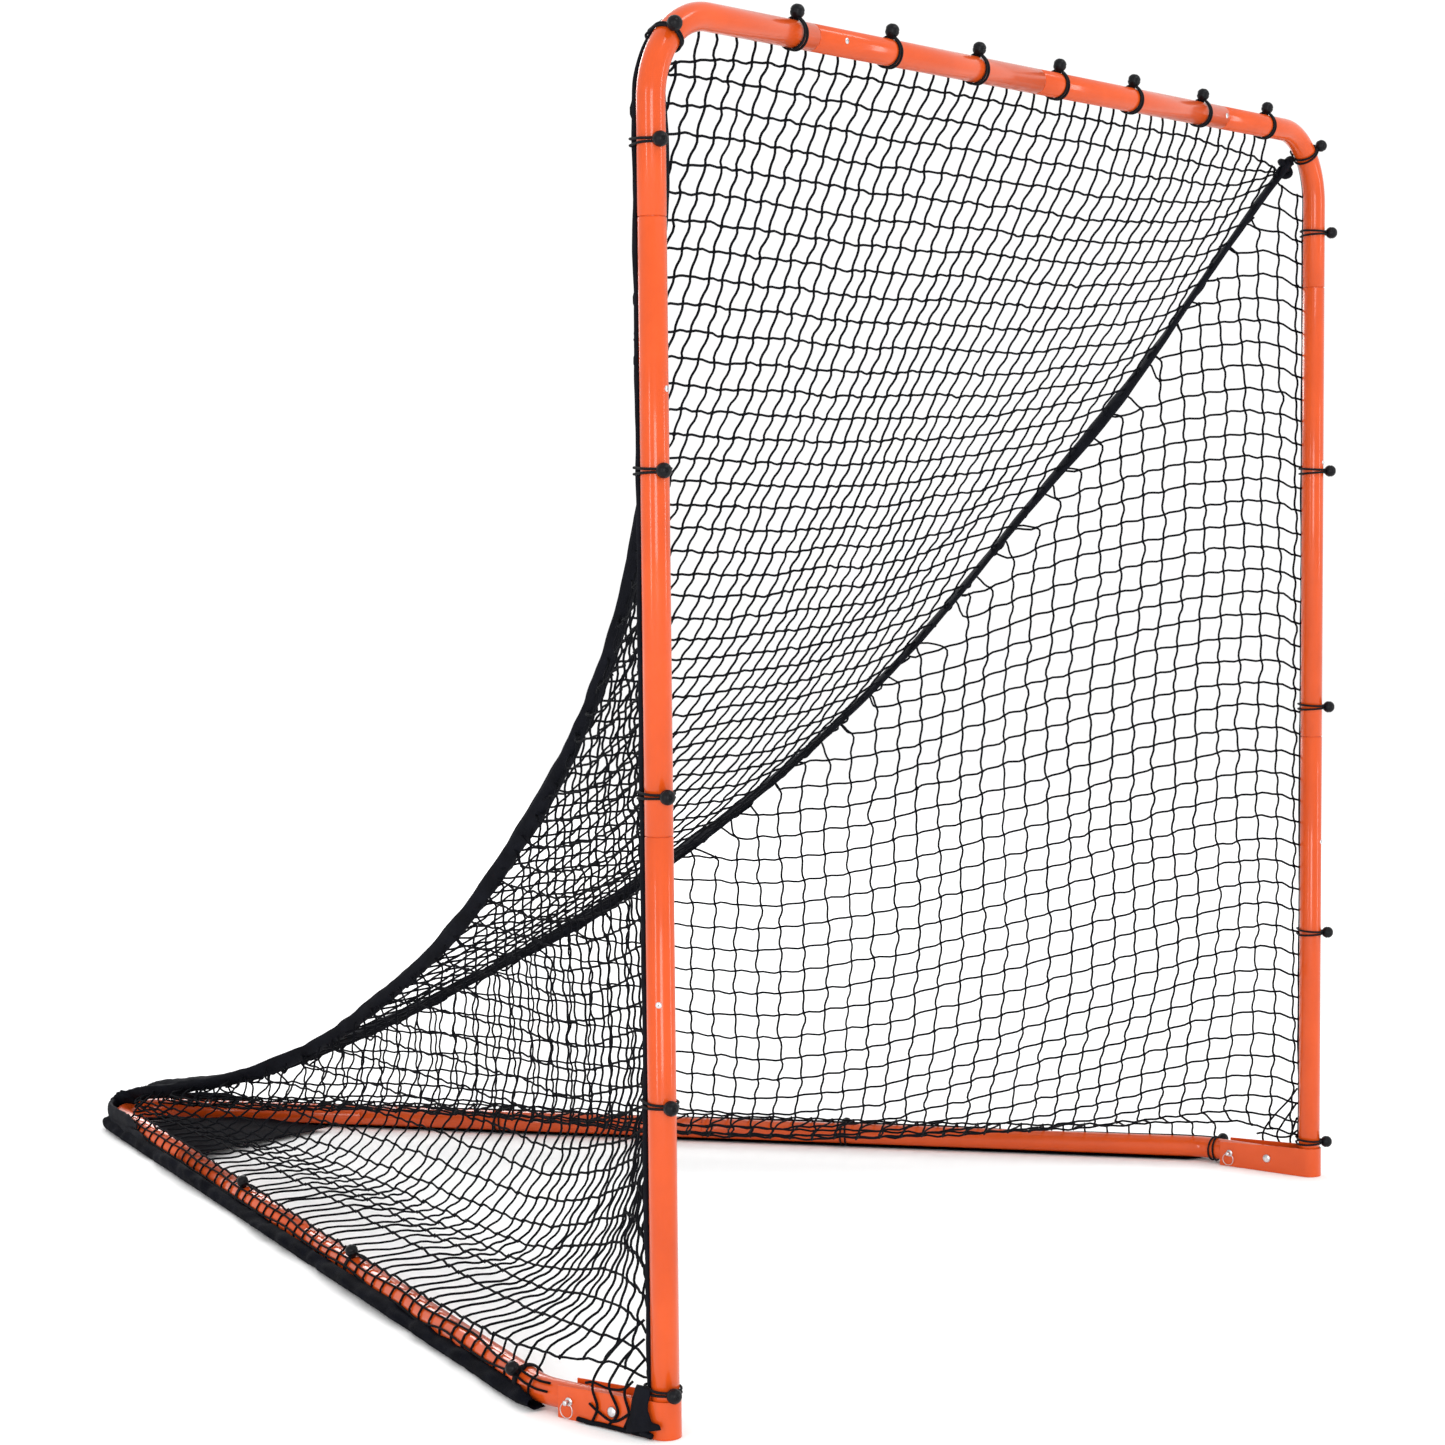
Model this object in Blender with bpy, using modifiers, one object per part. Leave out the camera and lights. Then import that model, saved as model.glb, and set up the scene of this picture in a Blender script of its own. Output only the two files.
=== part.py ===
"""A folding lacrosse goal: a square tube mouth, a V-shaped floor frame hinged to its feet, and a net.

Metres, +Z up. The mouth faces -Y, +X runs along the crossbar, and the V's rear corner points to +Y.
The origin is on the floor, below the centre of the goal's bounding box.
"""

import bmesh
import bpy
from math import asin, atan2, cos, exp, pi, radians, sin, tan
from mathutils import Matrix, Vector

# Driving dimensions
MOUTH_WIDTH = 1.829
MOUTH_HEIGHT = 1.848
GOAL_DEPTH = 2.134
TUBE_RADIUS = 0.019
TUBE_WALL = 0.0012
GAP = 0.0003

# Front frame
CORNER_BEND = 0.120
CROSSBAR_JOINT_X = 0.585
POST_JOINTS_Z = (0.800, 1.600)
FOOT_Z = 0.0015
SPIGOT_RADIUS = TUBE_RADIUS - TUBE_WALL - GAP
SPIGOT_LENGTH = 0.060
SHOULDER = 0.002

# Floor frame, with Y counted from the posts' axes
FLOOR_TUBE_Z = 0.0245
FLOOR_TUBE_FRONT = 0.058
KNEE_Y = 0.215
KNEE_BEND = 0.120
APEX_BEND = 0.062
FLOOR_JOINTS_Y = (1.080, 1.705)

# Hinge brackets
BRACKET_SHEET = 0.0020
BRACKET_INNER = TUBE_RADIUS + 0.0004
BRACKET_REAR = 0.170
BRACKET_HEIGHTS = (0.051, 0.044)
BOLT_Y = 0.074
PIN_Y = 0.150
BOLT_RADIUS = 0.0040
BOLT_CLEARANCE = 0.00025
PIN_RADIUS = 0.0030
PIN_CLEARANCE = 0.0004
PIN_END = 0.006
RING_RADIUS = 0.0105
RING_WIRE = 0.0009
RING_HOLE = 0.0018

# Bungees
LOOP_INNER = 0.0200
LOOP_OUTER = 0.0243
LOOP_HALF_WIDTH = 0.0022
BALL_RADIUS = 0.0105
BALL_REACH = 0.0305

# Net
NET_THICKNESS = 0.0010
NET_CLEARANCE = 0.014
SEAM_RADIUS = 0.008
EDGE_CORD_RADIUS = 0.004
EDGE_CORD_BEHIND = 0.0280
EDGE_CORD_OUT = 0.0060
HEM_OFFSETS = (0.0265, 0.0550)
HEM_HEIGHTS = (0.0200, 0.0012)
HEM_FRONT_Y = 0.290
CLOTH_THICKNESS = 0.0010

POST_X = MOUTH_WIDTH / 2 + TUBE_RADIUS
CROSSBAR_Z = MOUTH_HEIGHT + TUBE_RADIUS
CHEEK_OUTER = BRACKET_INNER + BRACKET_SHEET
APEX_TIP_Y = GOAL_DEPTH - TUBE_RADIUS
FRONT_REACH = 0.037
POST_Y = -(APEX_TIP_Y + HEM_OFFSETS[1] - FRONT_REACH) / 2
SIDES = (("left", -1), ("right", 1))

# Route of each seam binding, from the upper corner to the rear corner:
# half width, distance behind the posts, height
SEAM_ROUTE = (
    (0.872, 0.034, 1.800),
    (0.780, 0.114, 1.640),
    (0.668, 0.220, 1.430),
    (0.525, 0.355, 1.200),
    (0.419, 0.531, 0.958),
    (0.330, 0.731, 0.751),
    (0.215, 1.030, 0.510),
    (0.120, 1.290, 0.355),
    (0.052, 1.520, 0.236),
    (0.033, 1.760, 0.142),
    (0.028, 1.960, 0.092),
    (0.022, 2.085, 0.066),
)

# Bungees: sideways direction of each ball, seen along the tube
POST_BALL = Vector((0.48, -0.877, 0.0))
CORNER_BALL = Vector((0.45, -0.77, 0.45))
CROSSBAR_BALL = Vector((0.0, -0.2, 0.98))
POST_LOOP_HEIGHTS = (0.062, 0.445, 0.853, 1.275, 1.696)
CROSSBAR_LOOPS = 7
CROSSBAR_LOOP_PITCH = 0.2275
CROSSBAR_LOOPS_MIDDLE = 0.060
FLOOR_LOOPS = (
    ("floor_left_rear", -1, 1.380, Vector((-0.3, 0.0, 0.95))),
    ("floor_left_middle", -1, 0.880, Vector((-0.3, 0.0, 0.95))),
    ("floor_left_front", -1, 0.262, Vector((-0.8, 0.0, 0.6))),
    ("floor_right_rear", 1, 1.451, Vector((0.9, 0.0, 0.44))),
    ("floor_right_middle", 1, 0.830, Vector((0.9, 0.0, 0.44))),
    ("floor_right_front", 1, 0.190, Vector((0.9, 0.0, 0.44))),
)

COLOURS = {
    "orange_paint": ((0.80, 0.115, 0.022), 0.25, 0.0),
    "zinc": ((0.62, 0.62, 0.64), 0.30, 1.0),
    "net_twine": ((0.012, 0.013, 0.018), 0.85, 0.0),
    "webbing": ((0.011, 0.012, 0.018), 0.80, 0.0),
    "bungee": ((0.010, 0.010, 0.013), 0.50, 0.0),
}


def clear_scene():
    for item in list(bpy.data.objects):
        bpy.data.objects.remove(item)


def new_collection(name):
    collection = bpy.data.collections.new(name)
    bpy.context.scene.collection.children.link(collection)
    return collection


def material(name, slot):
    colour, roughness, metallic = COLOURS[slot]
    made = bpy.data.materials.new(f"{slot}_{name}")
    made.use_nodes = True
    shader = made.node_tree.nodes["Principled BSDF"]
    shader.inputs["Base Color"].default_value = (*colour, 1.0)
    shader.inputs["Roughness"].default_value = roughness
    shader.inputs["Metallic"].default_value = metallic
    return made


def add(name, data, slot, matrix=None):
    """A new part from a mesh or curve, placed by a matrix."""
    item = bpy.data.objects.new(name, data)
    PARTS.objects.link(item)
    data.materials.clear()
    data.materials.append(material(name, slot))
    if matrix is not None:
        item.matrix_world = matrix
    return item


def behind_posts(x, y, z):
    """A point whose Y is counted from the posts' axes."""
    return Vector((x, y + POST_Y, z))


def smooth(mesh, degrees=35):
    mesh.shade_smooth()
    mesh.set_sharp_from_angle(angle=radians(degrees))


def rounded_path(corners, radius, steps):
    """The corners' polyline with an arc of the given radius in place of each inner corner."""
    points = [corners[0]]
    for before, corner, after in zip(corners, corners[1:], corners[2:]):
        back = (before - corner).normalized()
        ahead = (after - corner).normalized()
        half = back.angle(ahead) / 2
        centre = corner + (back + ahead).normalized() * radius / sin(half)
        start = corner + back * radius / tan(half) - centre
        turn_axis = start.cross(corner - centre).normalized()
        for step in range(steps + 1):
            turn = Matrix.Rotation((pi - 2 * half) * step / steps, 3, turn_axis)
            points.append(centre + turn @ start)
    points.append(corners[-1])
    return points


def poly_curve(name, points, radius, resolution, radii=None, caps=True):
    curve = bpy.data.curves.new(name, "CURVE")
    curve.dimensions = "3D"
    curve.bevel_depth = radius
    curve.bevel_resolution = resolution
    curve.use_fill_caps = caps
    spline = curve.splines.new("POLY")
    spline.points.add(len(points) - 1)
    for index, point in enumerate(points):
        spline.points[index].co = (*point, 1.0)
        spline.points[index].radius = 1.0 if radii is None else radii[index]
    return curve


def mesh_from(item):
    """Turns a curve object with its modifiers into a mesh object of the same name and place."""
    evaluated = item.evaluated_get(bpy.context.evaluated_depsgraph_get())
    mesh = bpy.data.meshes.new_from_object(evaluated)
    shape = bmesh.new()
    shape.from_mesh(mesh)
    bmesh.ops.remove_doubles(shape, verts=shape.verts, dist=0.00001)
    shape.to_mesh(mesh)
    shape.free()
    smooth(mesh)
    name, matrix = item.name, item.matrix_world.copy()
    bpy.data.objects.remove(item)
    solid = bpy.data.objects.new(name, mesh)
    solid.matrix_world = matrix
    PARTS.objects.link(solid)
    return solid


def swaged_end(path, radii):
    """Narrows the last stretch of a path into a spigot that reaches past the joint."""
    along = (path[-1] - path[-2]).normalized()
    joint = path[-1]
    narrow = SPIGOT_RADIUS / TUBE_RADIUS
    path[-1] = joint - along * (SHOULDER + GAP)
    path += [joint - along * GAP, joint + along * SPIGOT_LENGTH]
    radii += [narrow, narrow]


def tube(name, points, spigots=0):
    """A hollow tube along the points, with a spigot at its last end, at both ends or at neither."""
    path = [point.copy() for point in points]
    radii = [1.0] * len(path)
    for end in range(spigots):
        if end:
            path.reverse()
            radii.reverse()
        swaged_end(path, radii)
    item = add(name, poly_curve(name, path, TUBE_RADIUS, 6, radii, caps=False), "orange_paint")
    shell = item.modifiers.new("wall", "SOLIDIFY")
    shell.thickness = TUBE_WALL
    shell.offset = -1.0
    return item


def cutter(name, mesh, matrix):
    item = bpy.data.objects.new(name, mesh)
    CUTTERS.objects.link(item)
    item.matrix_world = matrix
    item.hide_render = True
    item.display_type = "WIRE"
    return item


def boolean(item, tool, operation="DIFFERENCE"):
    modifier = item.modifiers.new(tool.name, "BOOLEAN")
    modifier.operation = operation
    modifier.object = tool


def cylinder_mesh(name, radius, length, segments=16):
    mesh = bpy.data.meshes.new(name)
    shape = bmesh.new()
    bmesh.ops.create_cone(
        shape, cap_ends=True, segments=segments, radius1=radius, radius2=radius, depth=length
    )
    shape.to_mesh(mesh)
    shape.free()
    return mesh


def box_mesh(name, size, centre):
    mesh = bpy.data.meshes.new(name)
    shape = bmesh.new()
    bmesh.ops.create_cube(shape, size=1.0)
    for corner in shape.verts:
        corner.co = Vector([corner.co[i] * size[i] + centre[i] for i in range(3)])
    shape.to_mesh(mesh)
    shape.free()
    return mesh


ALONG_MINUS_X = Matrix.Rotation(radians(-90), 4, "Y")


def cross_hole(item, name, x, y, z, radius):
    """A round hole along X, through both walls of a part."""
    mesh = cylinder_mesh(name, radius, 0.07)
    place = Matrix.Translation(behind_posts(x, y, z)) @ ALONG_MINUS_X
    boolean(item, cutter(name, mesh, place))


def turned(name, profile, slot, matrix, steps=16):
    """A solid of revolution about its local Z. The profile runs down its outer side, top to bottom.

    A profile that ends where it starts makes a ring.
    """
    mesh = bpy.data.meshes.new(name)
    edges = [(i, i + 1) for i in range(len(profile) - 1)]
    if profile[0] == profile[-1]:
        profile = profile[:-1]
        edges[-1] = (len(profile) - 1, 0)
    mesh.from_pydata([(radius, 0.0, height) for radius, height in profile], edges, [])
    item = add(name, mesh, slot, matrix)
    screw = item.modifiers.new("turn", "SCREW")
    screw.steps = steps
    screw.render_steps = steps
    screw.use_merge_vertices = True
    screw.merge_threshold = 0.00002
    return item


# ---------------------------------------------------------------- front frame


def front_frame_tubes():
    """Two halves of the mouth, each a crossbar tube, a bent corner tube and two post tubes."""
    middle_z, upper_z = POST_JOINTS_Z
    for side, sign in SIDES:
        def at(x, z):
            return behind_posts(sign * x, 0.0, z)

        corner = [at(CROSSBAR_JOINT_X, CROSSBAR_Z), at(POST_X, CROSSBAR_Z), at(POST_X, upper_z)]
        tube(f"corner_tube_{side}", rounded_path(corner, CORNER_BEND, 6), spigots=1)
        tube(f"upper_post_{side}", [at(POST_X, upper_z), at(POST_X, middle_z)], spigots=1)
        tube(f"lower_post_{side}", [at(POST_X, middle_z), at(POST_X, FOOT_Z)])
    left_end = behind_posts(-CROSSBAR_JOINT_X, 0.0, CROSSBAR_Z)
    right_end = behind_posts(CROSSBAR_JOINT_X, 0.0, CROSSBAR_Z)
    middle = behind_posts(0.0, 0.0, CROSSBAR_Z)
    tube("crossbar_left", [middle, left_end], spigots=2)
    tube("crossbar_right", [middle, right_end])


# ---------------------------------------------------------------- floor frame


def apex_vertex_y():
    """Where the floor frame's two straight sides would meet, for a tip that ends at the goal's depth."""
    tip_to_vertex = 0.08
    for _ in range(20):
        half = atan2(POST_X, APEX_TIP_Y + tip_to_vertex - KNEE_Y)
        tip_to_vertex = APEX_BEND * (1 / sin(half) - 1)
    return APEX_TIP_Y + tip_to_vertex


VERTEX_Y = apex_vertex_y()
SIDE_ANGLE = atan2(POST_X, VERTEX_Y - KNEE_Y)


def floor_half_width(y):
    """Half the distance between the floor frame's sides at a distance behind the posts."""
    if y < KNEE_Y:
        return POST_X
    return POST_X * (VERTEX_Y - y) / (VERTEX_Y - KNEE_Y)


def floor_frame_tubes():
    front_joint, rear_joint = FLOOR_JOINTS_Y
    for side, sign in SIDES:
        def at(y):
            return behind_posts(sign * floor_half_width(y), y, FLOOR_TUBE_Z)

        corners = [at(FLOOR_TUBE_FRONT), at(KNEE_Y), at(front_joint)]
        front = tube(f"floor_front_tube_{side}", rounded_path(corners, KNEE_BEND, 4), spigots=1)
        cut_hinge_holes(mesh_from(front), side, sign)
        tube(f"floor_middle_tube_{side}", [at(front_joint), at(rear_joint)], spigots=1)
    half = floor_half_width(rear_joint)
    corners = [
        behind_posts(-half, rear_joint, FLOOR_TUBE_Z),
        behind_posts(0.0, VERTEX_Y, FLOOR_TUBE_Z),
        behind_posts(half, rear_joint, FLOOR_TUBE_Z),
    ]
    tube("rear_corner_tube", rounded_path(corners, APEX_BEND, 8))


def cut_hinge_holes(item, side, sign):
    """A hole for the pivot bolt, and a hook for the lock pin, open below so the tube can swing up off it."""
    x = sign * POST_X
    cross_hole(item, f"bolt_hole_{side}", x, BOLT_Y, FLOOR_TUBE_Z, BOLT_RADIUS + BOLT_CLEARANCE)
    pin_bore = PIN_RADIUS + PIN_CLEARANCE
    depth = TUBE_RADIUS + 0.006
    width = 2 * (pin_bore - GAP / 2)
    drop = asin(TUBE_RADIUS / (PIN_Y - BOLT_Y)) / 2
    slot = box_mesh(f"hook_slot_{side}", (0.07, width, depth), (0.0, 0.0, -depth / 2))
    place = Matrix.Translation(behind_posts(x, PIN_Y, FLOOR_TUBE_Z))
    boolean(item, cutter(f"hook_slot_{side}", slot, place @ Matrix.Rotation(-drop, 4, "X")))
    cross_hole(item, f"hook_bore_{side}", x, PIN_Y, FLOOR_TUBE_Z, pin_bore)


# ---------------------------------------------------------------- hinge


def hinge_bracket(side, sign):
    """A folded strip that wraps the front of the foot and runs back as two cheeks, lower at the rear."""
    centre_radius = BRACKET_INNER + BRACKET_SHEET / 2
    front_height, rear_height = BRACKET_HEIGHTS
    outline = [(-centre_radius, BRACKET_REAR), (-centre_radius, 0.0)]
    turns = 8
    outline += [
        (-centre_radius * cos(pi * i / turns), -centre_radius * sin(pi * i / turns))
        for i in range(1, turns)
    ]
    outline += [(centre_radius, 0.0), (centre_radius, BRACKET_REAR)]
    name = f"hinge_bracket_{side}"
    mesh = bpy.data.meshes.new(name)
    shape = bmesh.new()
    bottom = [shape.verts.new((x, y, 0.0)) for x, y in outline]
    edges = [shape.edges.new(pair) for pair in zip(bottom, bottom[1:])]
    raised = bmesh.ops.extrude_edge_only(shape, edges=edges)["geom"]
    for corner in [item for item in raised if isinstance(item, bmesh.types.BMVert)]:
        share = max(corner.co.y, 0.0) / BRACKET_REAR
        corner.co.z = front_height + (rear_height - front_height) * share
    bmesh.ops.recalc_face_normals(shape, faces=shape.faces)
    shape.to_mesh(mesh)
    shape.free()
    smooth(mesh)
    item = add(name, mesh, "orange_paint", Matrix.Translation(behind_posts(sign * POST_X, 0.0, 0.0)))
    shell = item.modifiers.new("sheet", "SOLIDIFY")
    shell.thickness = BRACKET_SHEET
    shell.offset = 0.0
    x = sign * POST_X
    cross_hole(item, f"bracket_bolt_hole_{side}", x, BOLT_Y, FLOOR_TUBE_Z, BOLT_RADIUS + BOLT_CLEARANCE)
    cross_hole(item, f"bracket_pin_hole_{side}", x, PIN_Y, FLOOR_TUBE_Z, PIN_RADIUS + PIN_CLEARANCE)


def pivot_bolt(side, sign):
    place = Matrix.Translation(behind_posts(sign * POST_X, BOLT_Y, FLOOR_TUBE_Z)) @ ALONG_MINUS_X
    seat = CHEEK_OUTER + GAP
    nut_height = 0.0060
    head = [
        (0.0, seat + 0.0042),
        (0.0040, seat + 0.0036),
        (0.0070, seat + 0.0016),
        (0.0075, seat),
        (BOLT_RADIUS, seat),
        (BOLT_RADIUS, -seat - nut_height - 0.003),
        (0.0, -seat - nut_height - 0.003),
    ]
    turned(f"pivot_bolt_{side}", head, "zinc", place)
    hole = (BOLT_RADIUS + BOLT_CLEARANCE) / cos(radians(30))
    nut = [
        (hole, -seat),
        (0.0075, -seat),
        (0.0075, -seat - nut_height),
        (hole, -seat - nut_height),
        (hole, -seat),
    ]
    turned(f"pivot_nut_{side}", nut, "zinc", place, steps=6)


def lock_pin(side, sign):
    """A straight pin through both cheeks. Its head, on the -X side, has a cross hole for the pull ring."""
    place = Matrix.Translation(behind_posts(sign * POST_X, PIN_Y, FLOOR_TUBE_Z)) @ ALONG_MINUS_X
    seat = CHEEK_OUTER + GAP
    profile = [
        (0.0, seat + 0.0105),
        (0.0026, seat + 0.0105),
        (0.0035, seat + 0.0096),
        (0.0035, seat + 0.0015),
        (0.0060, seat + 0.0015),
        (0.0060, seat),
        (PIN_RADIUS, seat),
        (PIN_RADIUS, -seat - PIN_END),
        (0.0, -seat - PIN_END),
    ]
    item = turned(f"lock_pin_{side}", profile, "zinc", place, steps=12)
    hole_x = sign * POST_X - seat - 0.0058
    hole = cylinder_mesh(f"ring_hole_{side}", RING_HOLE, 0.02, segments=12)
    centre = behind_posts(hole_x, PIN_Y, FLOOR_TUBE_Z)
    turn = Matrix.Rotation(radians(90), 4, "X")
    boolean(item, cutter(f"ring_hole_{side}", hole, Matrix.Translation(centre) @ turn))
    pull_ring(side, centre)


def pull_ring(side, hinge_point):
    """A wire ring that hangs from the pin's head. Its origin is on the axis that it swings about."""
    bpy.ops.mesh.primitive_torus_add(
        major_radius=RING_RADIUS,
        minor_radius=RING_WIRE,
        major_segments=20,
        minor_segments=6,
    )
    made = bpy.context.object
    mesh = made.data
    bpy.data.objects.remove(made)
    stand = Matrix.Translation((0.0, 0.0, -RING_RADIUS)) @ Matrix.Rotation(radians(90), 4, "Y")
    mesh.transform(stand)
    mesh.shade_smooth()
    add(f"pull_ring_{side}", mesh, "zinc", Matrix.Translation(hinge_point))


# ---------------------------------------------------------------- bungees


def bungee_mesh():
    """A flat loop about local Z joined to a ball out along local X."""
    name = "bungee_loop"
    profile = [
        (LOOP_INNER, LOOP_HALF_WIDTH),
        (LOOP_OUTER, LOOP_HALF_WIDTH),
        (LOOP_OUTER, -LOOP_HALF_WIDTH),
        (LOOP_INNER, -LOOP_HALF_WIDTH),
        (LOOP_INNER, LOOP_HALF_WIDTH),
    ]
    item = turned(name, profile, "bungee", Matrix(), steps=12)
    ball = bpy.data.meshes.new("bungee_ball")
    shape = bmesh.new()
    bmesh.ops.create_uvsphere(shape, u_segments=7, v_segments=5, radius=BALL_RADIUS)
    bmesh.ops.translate(shape, verts=shape.verts, vec=(BALL_REACH, 0.0, 0.0))
    shape.to_mesh(ball)
    shape.free()
    tool = cutter("bungee_ball", ball, Matrix())
    boolean(item, tool, "UNION")
    made = mesh_from(item)
    mesh = made.data
    bpy.data.objects.remove(made)
    bpy.data.objects.remove(tool)
    return mesh


def bungee(name, mesh, centre, tube_direction, ball_direction):
    along = tube_direction.normalized()
    out = (ball_direction - along * ball_direction.dot(along)).normalized()
    side = along.cross(out)
    turn = Matrix((out, side, along)).transposed().to_4x4()
    add(f"bungee_{name}", mesh, "bungee", Matrix.Translation(centre) @ turn)


def front_bungees(mesh):
    up = Vector((0.0, 0.0, 1.0))
    out = Vector((1.0, 0.0, 0.0))
    for index in range(CROSSBAR_LOOPS):
        x = CROSSBAR_LOOPS_MIDDLE + CROSSBAR_LOOP_PITCH * (index - (CROSSBAR_LOOPS - 1) / 2)
        bungee(f"crossbar_{index + 1}", mesh, behind_posts(x, 0.0, CROSSBAR_Z), out, CROSSBAR_BALL)
    inset = CORNER_BEND * (1 - cos(radians(45)))
    for side, sign in SIDES:
        mirror = Vector((sign, 1.0, 1.0))
        centre = behind_posts(sign * (POST_X - inset), 0.0, CROSSBAR_Z - inset)
        bungee(f"corner_{side}", mesh, centre, out * sign - up, CORNER_BALL * mirror)
        for index, z in enumerate(POST_LOOP_HEIGHTS, start=1):
            centre = behind_posts(sign * POST_X, 0.0, z)
            bungee(f"post_{side}_{index}", mesh, centre, up, POST_BALL * mirror)


def floor_bungees(mesh):
    for name, sign, y, ball in FLOOR_LOOPS:
        along = Vector((0.0, 1.0, 0.0))
        if y > KNEE_Y:
            along = Vector((-sign * sin(SIDE_ANGLE), cos(SIDE_ANGLE), 0.0))
        bungee(name, mesh, behind_posts(sign * floor_half_width(y), y, FLOOR_TUBE_Z), along, ball)


# ---------------------------------------------------------------- net


def seam_point(height):
    """The seam binding's half width and distance behind the posts at a height."""
    route = sorted((point[2], point) for point in SEAM_ROUTE)
    height = min(max(height, route[0][0]), route[-1][0])
    for (low, below), (high, above) in zip(route, route[1:]):
        if height <= high:
            share = (height - low) / (high - low)
            return tuple(below[i] + (above[i] - below[i]) * share for i in range(3))
    return route[-1][1]


def seam_binding(side, sign):
    points = [behind_posts(sign * x, y, z) for x, y, z in SEAM_ROUTE]
    add(f"seam_binding_{side}", poly_curve(f"seam_{side}", points, SEAM_RADIUS, 2), "webbing")


def edge_cord():
    """The net's border cord, behind the posts and the crossbar."""
    x = POST_X + EDGE_CORD_OUT
    z = CROSSBAR_Z + EDGE_CORD_OUT
    foot = BRACKET_HEIGHTS[0] + 0.025
    corners = [
        behind_posts(-x, EDGE_CORD_BEHIND, foot),
        behind_posts(-x, EDGE_CORD_BEHIND, z),
        behind_posts(x, EDGE_CORD_BEHIND, z),
        behind_posts(x, EDGE_CORD_BEHIND, foot),
    ]
    points = rounded_path(corners, CORNER_BEND + EDGE_CORD_OUT, 6)
    add("net_edge_cord", poly_curve("edge_cord", points, EDGE_CORD_RADIUS, 1), "webbing")


def grid_sheet(name, rows, slot, thickness):
    """A closed sheet through rows of points."""
    mesh = bpy.data.meshes.new(name)
    shape = bmesh.new()
    made = [[shape.verts.new(point) for point in row] for row in rows]
    for lower, upper in zip(made, made[1:]):
        for column in range(len(lower) - 1):
            shape.faces.new((lower[column], lower[column + 1], upper[column + 1], upper[column]))
    bmesh.ops.recalc_face_normals(shape, faces=shape.faces)
    shape.to_mesh(mesh)
    shape.free()
    mesh.shade_smooth()
    item = add(name, mesh, slot)
    shell = item.modifiers.new("cloth", "SOLIDIFY")
    shell.thickness = thickness
    shell.offset = 0.0
    return item


def along_route(route, share):
    """The point at a share of a polyline's length."""
    lengths = [(b - a).length for a, b in zip(route, route[1:])]
    left = share * sum(lengths)
    for start, end, length in zip(route, route[1:], lengths):
        if left <= length:
            return start.lerp(end, left / length)
        left -= length
    return route[-1].copy()


def side_panel(side, sign):
    """The panel between a post, the floor tube and a seam, in rows that run back from the post."""
    rows, columns = 12, 12
    low, high = 0.062, 1.700
    above_tube = 0.055
    rear_y = 1.960
    bottom = [
        Vector((POST_X, 0.036, low)),
        Vector((POST_X, 0.190, low)),
        Vector((floor_half_width(0.290), 0.290, above_tube)),
        Vector((floor_half_width(rear_y), rear_y, above_tube)),
    ]
    grid = []
    for row in range(rows + 1):
        rise = row / rows
        front = Vector((POST_X + 0.002, 0.036, low + (high - low) * rise))
        seam = Vector(seam_point(0.092 + (high - 0.092) * rise))
        seam.x += NET_CLEARANCE
        pull = exp(-7.0 * rise) * (1.0 - rise)
        points = []
        for column in range(columns + 1):
            share = column / columns
            chord = front.lerp(seam, share)
            slack = along_route(bottom, share) - bottom[0].lerp(bottom[-1], share)
            point = chord + slack * pull
            points.append(behind_posts(sign * point.x, point.y, point.z))
        grid.append(points)
    grid_sheet(f"side_net_{side}", grid, "net_twine", NET_THICKNESS)


def back_panel():
    """The panel between the crossbar and the two seams, whose rows sag in the middle."""
    rows, columns = 14, 10
    low, high = 0.240, 1.790
    grid = []
    for row in range(rows + 1):
        rise = row / rows
        half, back, height = seam_point(low + (high - low) * rise)
        half -= NET_CLEARANCE
        lift = 0.040 * rise**10 - 0.035 * (1.0 - rise**2)
        points = []
        for column in range(columns + 1):
            across = 2.0 * column / columns - 1.0
            middle = 1.0 - across * across
            points.append(behind_posts(half * across, back, height + lift * middle))
        grid.append(points)
    grid_sheet("back_net", grid, "net_twine", NET_THICKNESS)


def floor_hem():
    """The fabric band along the outside of the floor frame and round its rear corner."""
    lines = []
    front = HEM_FRONT_Y
    corners = [
        behind_posts(-floor_half_width(front), front, 0.0),
        behind_posts(0.0, VERTEX_Y, 0.0),
        behind_posts(floor_half_width(front), front, 0.0),
    ]
    outward = Vector((cos(SIDE_ANGLE), sin(SIDE_ANGLE), 0.0))
    for offset, height in zip(HEM_OFFSETS, HEM_HEIGHTS):
        shift = outward * offset
        shifted = [
            corners[0] + Vector((-shift.x, shift.y, height)),
            corners[1] + Vector((0.0, offset / sin(SIDE_ANGLE), height)),
            corners[2] + Vector((shift.x, shift.y, height)),
        ]
        lines.append(rounded_path(shifted, APEX_BEND + offset, 8))
    grid_sheet("floor_hem", lines, "webbing", CLOTH_THICKNESS)


def corner_patch():
    """The fabric triangle in the rear corner of the floor frame."""
    front_y, clearance, tip_y = 1.735, 0.030, 2.020
    half = floor_half_width(front_y) - clearance
    tip = floor_half_width(tip_y) - clearance
    curve = bpy.data.curves.new("corner_patch", "CURVE")
    curve.dimensions = "2D"
    curve.fill_mode = "BOTH"
    curve.extrude = CLOTH_THICKNESS / 2
    outline = ((-half, front_y), (half, front_y), (tip, tip_y), (-tip, tip_y))
    spline = curve.splines.new("POLY")
    spline.points.add(len(outline) - 1)
    for point, (x, y) in zip(spline.points, outline):
        point.co = (x, y, 0.0, 1.0)
    spline.use_cyclic_u = True
    add("corner_patch", curve, "webbing", Matrix.Translation((0.0, POST_Y, 0.012)))


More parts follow.
